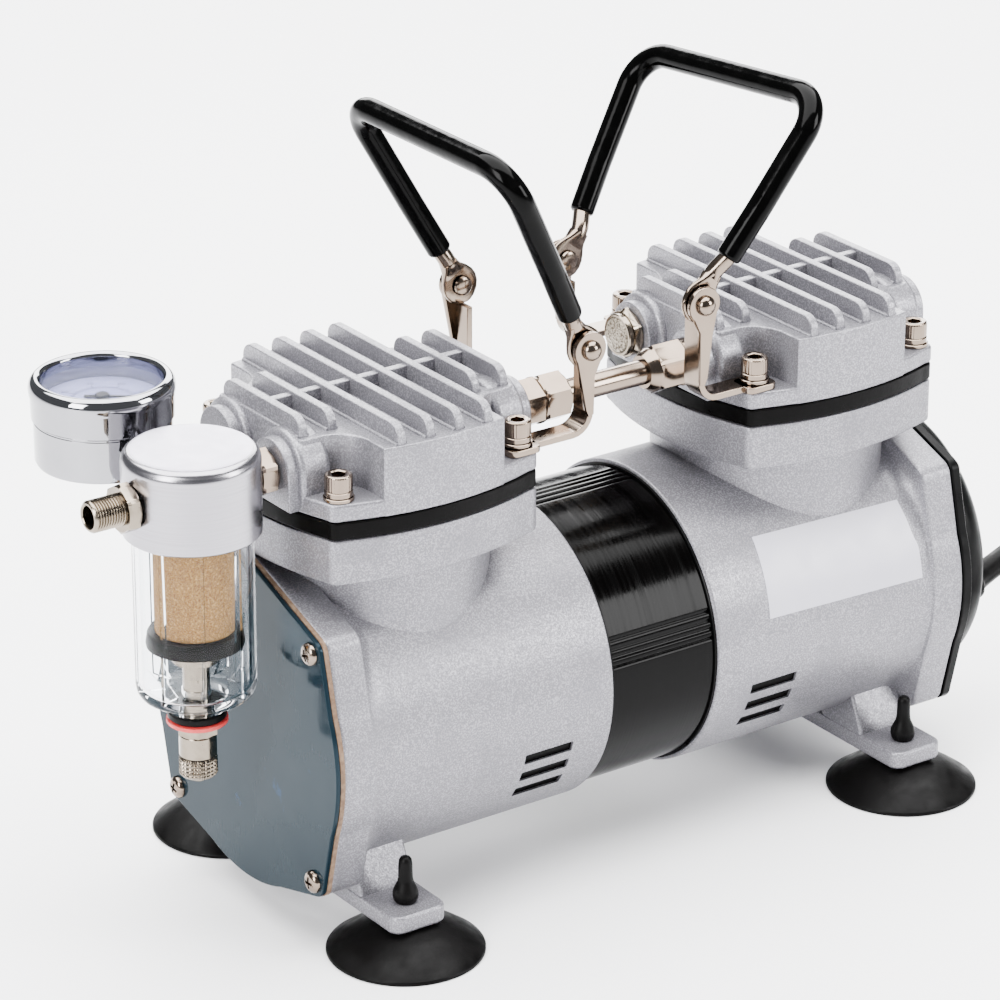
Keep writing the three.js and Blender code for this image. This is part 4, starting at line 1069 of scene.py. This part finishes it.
PAN_HEAD = ((3.4, -0.2), (3.6, 0.1), (3.55, 0.8), (3.2, 1.4), (2.6, 1.85), (1.8, 2.1), (0.9, 2.2), (0.3, 2.2))


def cross_outline(reach, half):
    """A plus sign."""
    arm = [(half, half), (half, reach), (-half, reach), (-half, half)]
    turned = []
    for _ in range(4):
        turned += arm
        arm = [(-y, x) for x, y in arm]
    return [point for k, point in enumerate(turned) if k % 4 != 3]


def corner_screws(name, x, way):
    """Four pan-head screws at the flange's corners, each cross turned its own way."""
    screws = Shape()
    cutter = Shape()
    for y in (-CORNER_Y, CORNER_Y):
        for z in (-CORNER_Z, CORNER_Z):
            place = frame_along((x, y, SHAFT_Z + z), (way, 0, 0))
            screws.turn(PAN_HEAD, place, 48)
            turned = place @ Matrix.Rotation(0.4 * y + z, 4, "Z")
            cutter.slab(cross_outline(1.9, 0.42), 0.9, 3, 0.05, turned, steps=1)
    made = screws.object(name, "nickel", "pump_body", slot="nickel")
    carve(made, cutter.object(f"{name}_cross", "nickel"))
    return made


def gasket(near, far):
    """The brown edge that shows round the end plate."""
    count = 288
    edge, hole = inset(polar(end_outline(), count), -0.2), circle(43, count)
    ring = Shape(sideways((0, 0, SHAFT_Z)))
    stops = ((edge, near), (edge, far), (hole, far), (hole, near))
    ring.loft([at_height(outline, x) for outline, x in stops], loop=True)
    ring.object("fibre_gasket", "pressed_fibre", "pump_body", ["end_plate_gasket"], "fibre_gasket")


def end_plate():
    low, high = (corner[0] for corner in low_high("end_plate_gasket"))
    gasket(low, high + 0.25)
    outer = low - 1.6
    plate = Shape(sideways((0, 0, SHAFT_Z)))
    plate.slab(end_outline(), outer, low - 0.02, 0.35)
    plate.object("zinc_end_plate", "zinc_plate", "pump_body", ["end_plate"], "zinc_plate")
    screws = corner_screws("end_plate_screws", outer, -1)
    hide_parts("end_plate")


def end_cover():
    face = REAR_END + 0.3
    cover = Shape()
    cover.slab(inset(end_outline(), -0.1), face, face + 3.5, 0.6, sideways((0, 0, SHAFT_Z)))
    place = frame_along((face, 0, SHAFT_Z), (1, 0, 0))
    dome = [(0.5, 14.6), (30, 14.3), (37, 14), (42.5, 11.5), (45.2, 7), (45.4, 4), (46, 3), (48, 3)]
    dome += [(48, 7.2)] + arc((38, 7), 10, 8, 82, 9)
    dome += [(r, 17 + 3 * (1 - (r / 38) ** 2)) for r in (34, 28, 21, 14, 7, 0.5)]
    cover.turn(dome, place, 160)
    cover.object("fan_cover", "black_plastic", "pump_body", ["end_cover"], "black_plastic")
    screws = corner_screws("cover_screws", face + 3.5, 1)
    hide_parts("end_cover")


# ---------------------------------------------------------------- intake filter

CAP_R = 20.7
FILTER_AXIS = Matrix.Translation((FILTER_X, -PORT_Y, 0))


def filter_cap():
    cap = Shape(FILTER_AXIS)
    cap.turn([
        (18.6, 138.8), (20.2, 138.8), (CAP_R, 139.3), (CAP_R, 161.4), (20.55, 162.6), (20.0, 163.8),
        (19.2, 164.6), (18.2, 165.1), (0.5, 165.1), (0.5, 147.2), (18.6, 147.2),
    ], sides=160, loop=True)
    cap.object("filter_cap", "turned_aluminium", "pump_body", ["filter_head"], "bare_aluminium")
    # The top face takes the lighter aluminium: a painted highlight on the cap's top.
    face = Shape(FILTER_AXIS)
    face.turn([(18.3, 165.0), (18.2, 165.12), (17.2, 165.3), (9, 165.32), (0.5, 165.32)], sides=160)
    face.object("filter_cap_face", "faced_aluminium_painted_highlight", "pump_body", ["filter_head"], "bare_aluminium")


def filter_bowl():
    """The bowl with its rounded foot, and eight ribs inside its wall."""
    bowl = Shape(FILTER_AXIS)
    bowl.turn([
        (4.5, 81.6), (8.8, 81.6), (9, 81.9), (9, 84.6), (9.6, 85.4), (13.4, 85.5), (15.4, 85.9), (16.9, 86.9),
        (17.8, 88.4), (18.1, 90.2), (18.1, 146.6), (16.2, 146.6), (16.1, 91.4), (15.7, 89.8), (14.6, 88.7),
        (12.8, 88.2), (4.5, 88.1),
    ], sides=120, loop=True)
    for k in range(8):
        angle = TAU * (k + 0.5) / 8
        way = Vector((math.cos(angle), math.sin(angle), 0))
        side = Vector((-way.y, way.x, 0))
        rings = []
        for z, reach in ((88.4, 9.5), (95, 14.2), (140, 15.2)):
            rings.append([way * a + side * b + Vector((0, 0, z)) for a, b in
                          ((reach, 0.45), (reach, -0.45), (16.4, -0.45), (16.4, 0.45))])
        bowl.loft(rings)
    bowl.object("clear_bowl", "clear_plastic", "pump_body", ["filter_bowl"], "clear_bowl")


def diamond_knurl(angle, r, h):
    """Two crossing sets of grooves on the knob's rim."""
    return r - 0.26 * (1 - math.cos(24 * angle + 2.6 * h) * math.cos(24 * angle - 2.6 * h)) if r > 5.8 else r


def filter_inside():
    element = Shape(FILTER_AXIS)
    element.turn([(4.5, 107.6), (11.7, 107.6), (12, 107.9), (12, 145), (4.5, 145)], sides=120, loop=True)
    element.object("sintered_sleeve", "porous_element", "pump_body", ["filter_element"], "sintered_element")
    baffle = Shape(FILTER_AXIS)
    baffle.turn([(4.3, 102.6), (13.6, 102.4), (14.6, 102.9), (14.8, 104.0), (14.4, 106.6), (13.8, 107.4),
                 (4.3, 107.5)], sides=96, loop=True)
    baffle.object("baffle", "black_plastic", "pump_body", ["filter_element"], "black_plastic")


def drain_valve():
    """The brass body, the seal and washer on it, and the knob that turns."""
    stud = Shape(FILTER_AXIS)
    stud.turn([
        (5.3, 66), (5.7, 66.3), (5.7, 72.8), (5.4, 73.2), (4.1, 73.3), (4.1, 97), (7, 97.2), (7.2, 97.5),
        (7.2, 100.6), (7, 101), (4.1, 101.2), (4.1, 150),
    ], sides=72)
    hex_nut(stud, None, 73.1, 76.8, 6.6, 0.5)
    stud.object("drain_body", "plated_brass", "pump_body", ["drain_valve"], "steel")
    seal = Shape(FILTER_AXIS)
    seal.turn([(4.2, 78.7), (8.4, 78.7), (8.9, 79.2), (9.0, 80.0), (8.9, 80.8), (8.4, 81.3), (4.2, 81.3)],
              sides=72, loop=True)
    seal.object("bowl_seal", "black_rubber", "pump_body", ["drain_valve"], "black_rubber")
    washer = Shape(FILTER_AXIS)
    washer.turn([(4.2, 76.9), (8.8, 76.9), (9.3, 77.3), (9.3, 78.3), (8.8, 78.6), (4.2, 78.6)],
                sides=72, loop=True)
    washer.object("bowl_washer", "red_washer", "pump_body", ["drain_valve"])
    knob = Shape(FILTER_AXIS)
    grip = [(5.9, 60.1 + 0.25 * k) for k in range(21)]
    knob.turn([(3.2, 59.3), (5.2, 59.5)] + grip + [(5.2, 65.7), (3, 65.8)], sides=220, radius=diamond_knurl)
    knob.turn([(1.6, 57.6), (2.2, 57.8), (2.3, 59.5)], sides=32)
    knob.object("knurled_knob", "plated_brass", "drain_cock", ["drain_knob"], "steel", 20)


def thread(radius, low, high, pitch, bore):
    """Thread crests drawn as close rings, ending in a chamfer and a bore."""
    root = radius - 0.55
    profile = [(radius, low)]
    h = low + pitch / 2
    while h < high - 1.2:
        profile += [(radius, h - 0.18 * pitch), (root, h + 0.22 * pitch), (root, h + 0.36 * pitch),
                    (radius, h + 0.8 * pitch)]
        h += pitch
    rim = [(radius - 0.1, high - 0.6), (radius - 0.7, high), (bore + 0.3, high), (bore, high - 0.3)]
    return profile + rim + [(bore, high - 9)]


def inlet_fitting():
    inlet = Shape(frame_along((FILTER_X - CAP_R, -PORT_Y, PORT_Z), (-1, 0, 0)))
    hex_nut(inlet, None, 0.2, 4.3)
    inlet.turn([(4.4, -2), (4.4, 4.2)] + thread(4.9, 4.3, 14.4, 0.9, 3.4), sides=72)
    inlet.object("inlet_stub", "plated_brass", "pump_body", ["inlet_fitting"], "bare_aluminium")


def filter_union():
    """The nut between the filter's cap and the front head."""
    cap, boss = FILTER_X + CAP_R, FRONT_X - PORT_FACE
    union = Shape(PORT_LINE)
    hex_nut(union, None, cap + 0.3, boss - 0.9, 7.7)
    union.turn([(4.5, cap - 2), (4.5, boss + 5)], sides=48)
    union.object("filter_union", "nickel", "pump_body", ["filter_nipple"], "nickel")


# ---------------------------------------------------------------- gauge

DIAL_TURN = math.atan2(-0.578, 0.816)  # the dial's top points away from the pump's front corner


def lettering(shape, text, size, place):
    """Adds the flat faces of a short text to the shape."""
    curve = bpy.data.curves.new("lettering", "FONT")
    curve.body = text
    curve.size = size
    curve.align_x = "CENTER"
    curve.align_y = "CENTER"
    made = bpy.data.objects.new("lettering", curve)
    bpy.context.scene.collection.objects.link(made)
    bpy.context.view_layer.update()
    mesh = bpy.data.meshes.new_from_object(made)
    faces = [tuple(face.vertices) for face in mesh.polygons]
    shape.add([vertex.co for vertex in mesh.vertices], faces, place)
    bpy.data.objects.remove(made)


def gauge_case():
    place = Matrix.Translation((FILTER_X, GAUGE_Y, 0))
    case = Shape(place)
    case.turn([
        (0.5, 144.2), (18.8, 144.2), (20.4, 144.7), (21, 146.0), (21, 158.0), (20.8, 158.2),
        (20.8, 158.6), (21.2, 158.8), (21.6, 159.2), (21.8, 166.0), (22.1, 166.6), (22.2, 168.4),
        (21.9, 169.8), (21.2, 170.9), (20.3, 171.5), (19.4, 171.5), (18.7, 171.0), (18.3, 170.2),
        (18.3, 163.6), (0.5, 163.6),
    ], sides=160)
    stem = frame_along((0, -GAUGE_Y - PORT_Y, PORT_Z), (0, 1, 0))
    hex_nut(case, stem, 21, 32, 7.6)
    case.turn([(4.9, 12), (4.9, 34)], stem, 48)
    case.object("gauge_housing", "chrome", "pump_body", ["gauge_case"], "chrome")
    pane = Shape(place)
    pane.turn([(18.25, 168.4), (18.25, 169.2)], sides=96)
    pane.object("gauge_window", "clear_pane", "pump_body", slot="clear_bowl")


def scale_angle(step, steps):
    """The scale runs from 200 degrees round to -20."""
    return math.radians(200 - 220 * step / steps)


def dial_marks(ink, steps=50):
    """A tick at each step, longer at the fives and tens."""
    for k in range(steps + 1):
        angle = scale_angle(k, steps)
        length = 2.2 if k % 10 == 0 else 1.5 if k % 5 == 0 else 1.0
        half = 0.16 if k % 10 == 0 else 0.08
        way = Vector((math.cos(angle), math.sin(angle), 0))
        side = Vector((-math.sin(angle), math.cos(angle), 0))
        ink.add([way * a + side * b for a, b in rectangle(9, 9 + length, -half, half)], [(0, 1, 2, 3)])


def dial_line(ink, steps=60):
    """The thin arc along the ticks' feet."""
    angles = [scale_angle(k, steps) for k in range(steps + 1)]
    for a, b in zip(angles, angles[1:]):
        corners = ((8.9, b), (9.05, b), (9.05, a), (8.9, a))
        ink.add([(r * math.cos(t), r * math.sin(t), 0) for r, t in corners], [(0, 1, 2, 3)])


def gauge_dial():
    """A pale dial with a scale from 0 to 100."""
    place = Matrix.Translation((FILTER_X, GAUGE_Y, 163.9)) @ Matrix.Rotation(DIAL_TURN, 4, "Z")
    disc = Shape(place)
    disc.turn([(18.2, -0.2), (18.2, 0)], sides=96)
    disc.object("gauge_dial", "dial_face", "pump_body", slot="chrome")
    ink = Shape(place @ Matrix.Translation((0, 0, 0.03)))
    dial_marks(ink)
    for k in range(6):
        angle = scale_angle(k, 5)
        spot = Matrix.Translation((12.9 * math.cos(angle), 12.9 * math.sin(angle), 0))
        lettering(ink, str(20 * k), 2.5, spot)
    dial_line(ink)
    ink.object("gauge_scale", "dial_ink", "pump_body", slot="needle_black")


def gauge_needle():
    low, _ = low_high("gauge_needle")
    place = Matrix.Translation((FILTER_X, GAUGE_Y, low[2])) @ Matrix.Rotation(DIAL_TURN, 4, "Z")
    needle = Shape(place)
    blade = [(-5.5, -0.8), (0, -0.75), (13.6, -0.16), (13.6, 0.16), (0, 0.75), (-5.5, 0.8)]
    needle.slab(blade, 0.1, 0.5, 0.05, steps=1)
    needle.turn([(2.1, 0), (2.2, 0.2), (2.2, 0.9), (1.9, 1.2), (0.3, 1.3)], sides=40)
    needle.object("gauge_hand", "black_plastic", "gauge_pointer", ["gauge_needle"], "needle_black")


# ---------------------------------------------------------------- lifting handles

HANDLES = {
    "front": {"lean": math.radians(-28.2), "drop": 1.6, "away": 1, "width": 0.95, "height": 1.05},
    "rear": {"lean": math.radians(36.6), "drop": -1.4, "away": -1, "width": 1, "height": 1},
}
EYE_Y = 33.0
BRACKET_Y = 36.5
STRIP_Y = 34
ROOT_X, ROOT_Z = 36.35, 15.5  # where the grip ends and the bare rod begins
EYE_SECTIONS = (  # height, half width and half thickness of the hammered end, from its tip up
    (-6.3, 1.1, 0.9), (-5.7, 2.8, 1.05), (-4.4, 4.6, 1.1), (-2.4, 5.95, 1.1), (0, 6.4, 1.1), (2.2, 6.1, 1.1),
    (4.4, 5.1, 1.1), (5.6, 4.3, 1.25), (6.8, 3.5, 1.7), (8.2, 3.0, 2.3), (9.6, 2.6, 2.7),
)


def hinge_line(end):
    """A point on the handle's hinge, and the hinge's direction."""
    joint = HINGES[f"{end}_handle"]
    return Vector(joint["pos_m"]) / MM, Vector(joint["axis"]).normalized()


def handle_frame(end):
    """The frame of a handle: x along its hinge, z up in its plane."""
    hinge, along = hinge_line(end)
    lean = HANDLES[end]["lean"]
    up = Vector((math.sin(lean), 0, math.cos(lean)))
    up = (up - up.dot(along) * along).normalized()
    turn = Matrix((along, up.cross(along), up)).transposed().to_4x4()
    return Matrix.Translation(hinge) @ turn


def handle_grip(end, width, height, drop):
    corners = [(-ROOT_X, ROOT_Z), (-39.1, 31.7), (-44.4, 70.9), (44.4, 70.9), (39.1, 31.7), (ROOT_X, ROOT_Z)]
    line = [(x * width, 0, z * height - drop) for x, z in corners]
    grip = Shape(handle_frame(end))
    grip.sweep(rounded(line, [0, 40, 11, 11, 40, 0], 14, closed=False), 3.9, 40, ends=1.2)
    nodes = [f"{end}_handle_grip"]
    grip.object(f"{end}_grip_sleeve", "grip_sleeve", f"{end}_handle", nodes, "grip_sleeve", 60)


def hammered_eye(rod, side):
    """The wire's end is hammered flat: it widens from round to a plate with a round end."""
    squareness = 0.55
    rings = []
    for z, wide, thick in EYE_SECTIONS:
        ring = []
        for k in range(24):
            c, s = math.cos(TAU * k / 24), math.sin(TAU * k / 24)
            ring.append((
                side * EYE_Y + thick * math.copysign(abs(c) ** squareness, c),
                wide * math.copysign(abs(s) ** squareness, s),
                z,
            ))
        rings.append(ring)
    rod.loft(rings)


def handle(end):
    width, height, drop = (HANDLES[end][key] for key in ("width", "height", "drop"))
    handle_grip(end, width, height, drop)
    rod = Shape(handle_frame(end))
    for side in (-1, 1):
        root = Vector((side * ROOT_X * width, 0, ROOT_Z * height - drop))
        wire = [root + Vector((side * 0.6, 0, 3.5)), root, Vector((side * (EYE_Y + 0.4), 0, 11)),
                Vector((side * EYE_Y, 0, 8.2))]
        rod.sweep(smooth_line(wire, 1.5), 2.75, 32)
        hammered_eye(rod, side)
    rod.object(f"{end}_bail", "nickel", f"{end}_handle", [f"{end}_handle_rod"], "nickel", 40)


def bracket(end, side, number):
    """A bent strip under a head bolt, rising to a riveted cheek beside the handle's eye."""
    hinge, along = hinge_line(end)
    away = HANDLES[end]["away"]
    eye = hinge + along * (side * EYE_Y / along.y)
    bolt_x = UNITS[end]["x"] + away * BOLT_X
    face = eye.x + away * 1.5
    low, thick, bend = FLANGE_TOP + 0.1, 2.1, 7.5
    inner, top = bend - thick, eye.z - 6.4
    angles = [math.radians(15 * k) for k in range(7)]

    def x(distance):
        return face - away * distance

    def push(outline, near, far, edge):
        """The outlines run anticlockwise for the front handle, so the rear one's are turned round."""
        plate.slab(outline[::away], *sorted((near, far)), edge, across(), steps=2)

    plate = Shape()
    strip = [(bolt_x - away * 5.2, low), (x(bend), low)]
    strip += [(x(bend * (1 - math.sin(a))), low + bend * (1 - math.cos(a))) for a in angles[1:]]
    strip += [(x(0), top), (x(thick), top)]
    strip += [(x(bend - inner * math.sin(a)), low + bend - inner * math.cos(a)) for a in reversed(angles)]
    strip += [(bolt_x - away * 5.2, low + thick)]
    push(strip, -side * (BRACKET_Y - 8.4), -side * BRACKET_Y + side * 0.5, 0.35)
    pad = rectangle(bolt_x - away * 5.6, bolt_x + away * 6, side * STRIP_Y - 4.9, side * STRIP_Y + 4.9)
    plate.slab(rounded(pad[::away], 2.5, 5), low, low + thick, 0.3)
    cheek = [(x(0.1), low + bend - 1), (x(-0.1), eye.z - 9)]
    cheek += arc((eye.x, eye.z), 5.8, 90 - 140 * away, 90 + 125 * away, 24)
    cheek += [(x(thick + 2.6), eye.z - 11), (x(thick + 1.0), low + bend + 1), (x(thick), low + bend - 1.5)]
    push(cheek, -side * (BRACKET_Y - 1.8), -side * BRACKET_Y, 0.4)
    rivet(plate, frame_along((eye.x, side * BRACKET_Y, eye.z), (0, side, 0)))
    name = f"{end}_handle_bracket_{number}"
    plate.object(f"{name}_strip", "nickel", "pump_body", [name], "nickel")


def rivet(plate, outward):
    """A domed head outside the cheek, and the turned-over end inside the eye."""
    plate.turn([
        (2, -6), (2, -0.3), (3.0, 0), (3.2, 0.3), (3.1, 1.0), (2.6, 1.8), (1.7, 2.4), (0.8, 2.65), (0.2, 2.7),
    ], outward, 48)
    plate.turn([(0.4, -6.4), (2.4, -6.3), (3, -5.9), (3.2, -5.3), (2, -5.2), (2, -4)], outward, 48)


# ---------------------------------------------------------------- label

def rating_label(steps=24):
    """A blank pale label stuck a little askew on the rear barrel."""
    label = Shape()
    left, right = FEET_X + 42.4, FEET_X + 105.8
    rings = []
    for k in range(steps + 1):
        share = k / steps
        angle = math.radians(78.8 - 30.6 * share)
        skew = 1.9 * share
        near, far = left + skew * 0.6, right + skew
        ring = []
        for x, r in ((near, BARREL_R), (near, 50.14), (far, 50.14), (far, BARREL_R)):
            tilt = angle + math.radians(1.8) * (x - left) / (right - left)
            ring.append((x, -r * math.sin(tilt), SHAFT_Z + r * math.cos(tilt)))
        rings.append(ring)
    label.loft(rings)
    label.object("blank_label", "label_paper", "pump_body")


# ---------------------------------------------------------------- inner parts keep their CAD shapes

INNER_FINISHES = {
    "steel": ("motor_shaft", "rotor_core", "front_crank", "rear_crank", "front_cylinder", "rear_cylinder"),
    "turned_aluminium": ("front_piston_rod", "rear_piston_rod"),
    "copper_wire": ("stator_winding",),
    "black_plastic": ("cooling_fan",),
}


def finish_inner_parts():
    for finish, nodes in INNER_FINISHES.items():
        for name in nodes:
            mesh = frame["nodes"][name].data
            mesh.materials.clear()
            mesh.materials.append(FINISHES[finish])


# ---------------------------------------------------------------- floor and light

def floor():
    size = 6000
    plane = Shape()
    plane.add(at_height(rectangle(-size, size, -size, size), -0.05), [(0, 1, 2, 3)])
    plane.object("studio_floor", "floor_finish")


def softbox(name, place, target, width, height, power):
    light = bpy.data.lights.new(name, "AREA")
    light.shape = "RECTANGLE"
    light.size, light.size_y = width, height
    light.energy = power
    made = bpy.data.objects.new(name, light)
    bpy.context.scene.collection.objects.link(made)
    way = Vector(target) - Vector(place)
    made.location = place
    made.rotation_euler = way.to_track_quat("-Z", "Y").to_euler()


def lighting():
    world = bpy.data.worlds.new("studio")
    bpy.context.scene.world = world
    world.use_nodes = True
    background = world.node_tree.nodes["Background"]
    background.inputs["Color"].default_value = rgb(0.92, 0.95, 1.0)
    background.inputs["Strength"].default_value = 0.25
    softbox("overhead", (0.1, 0.2, 1.5), (0, 0, 0), 2.4, 1.8, 190)
    softbox("left", (-1.4, -0.4, 0.8), (0, 0, 0.1), 0.6, 0.9, 45)
    softbox("right", (1.2, -1.5, 0.8), (0, 0, 0.1), 0.7, 0.9, 50)
    softbox("behind", (1.1, 1.5, 0.85), (0, 0, 0.1), 1.6, 0.8, 60)


for end in UNITS:
    housing(end)
    head(end)
    valve_plate(end)
    head_bolts(end)
    suction_feet(end)
    handle(end)
    for number, side in ((1, -1), (2, 1)):
        bracket(end, side, number)
head_tube()
front_union()
rear_union()
for end in UNITS:
    muffler(end)
stator()
end_plate()
end_cover()
filter_cap()
filter_bowl()
filter_inside()
drain_valve()
inlet_fitting()
filter_union()
gauge_case()
gauge_dial()
gauge_needle()
rating_label()
finish_inner_parts()
floor()
lighting()
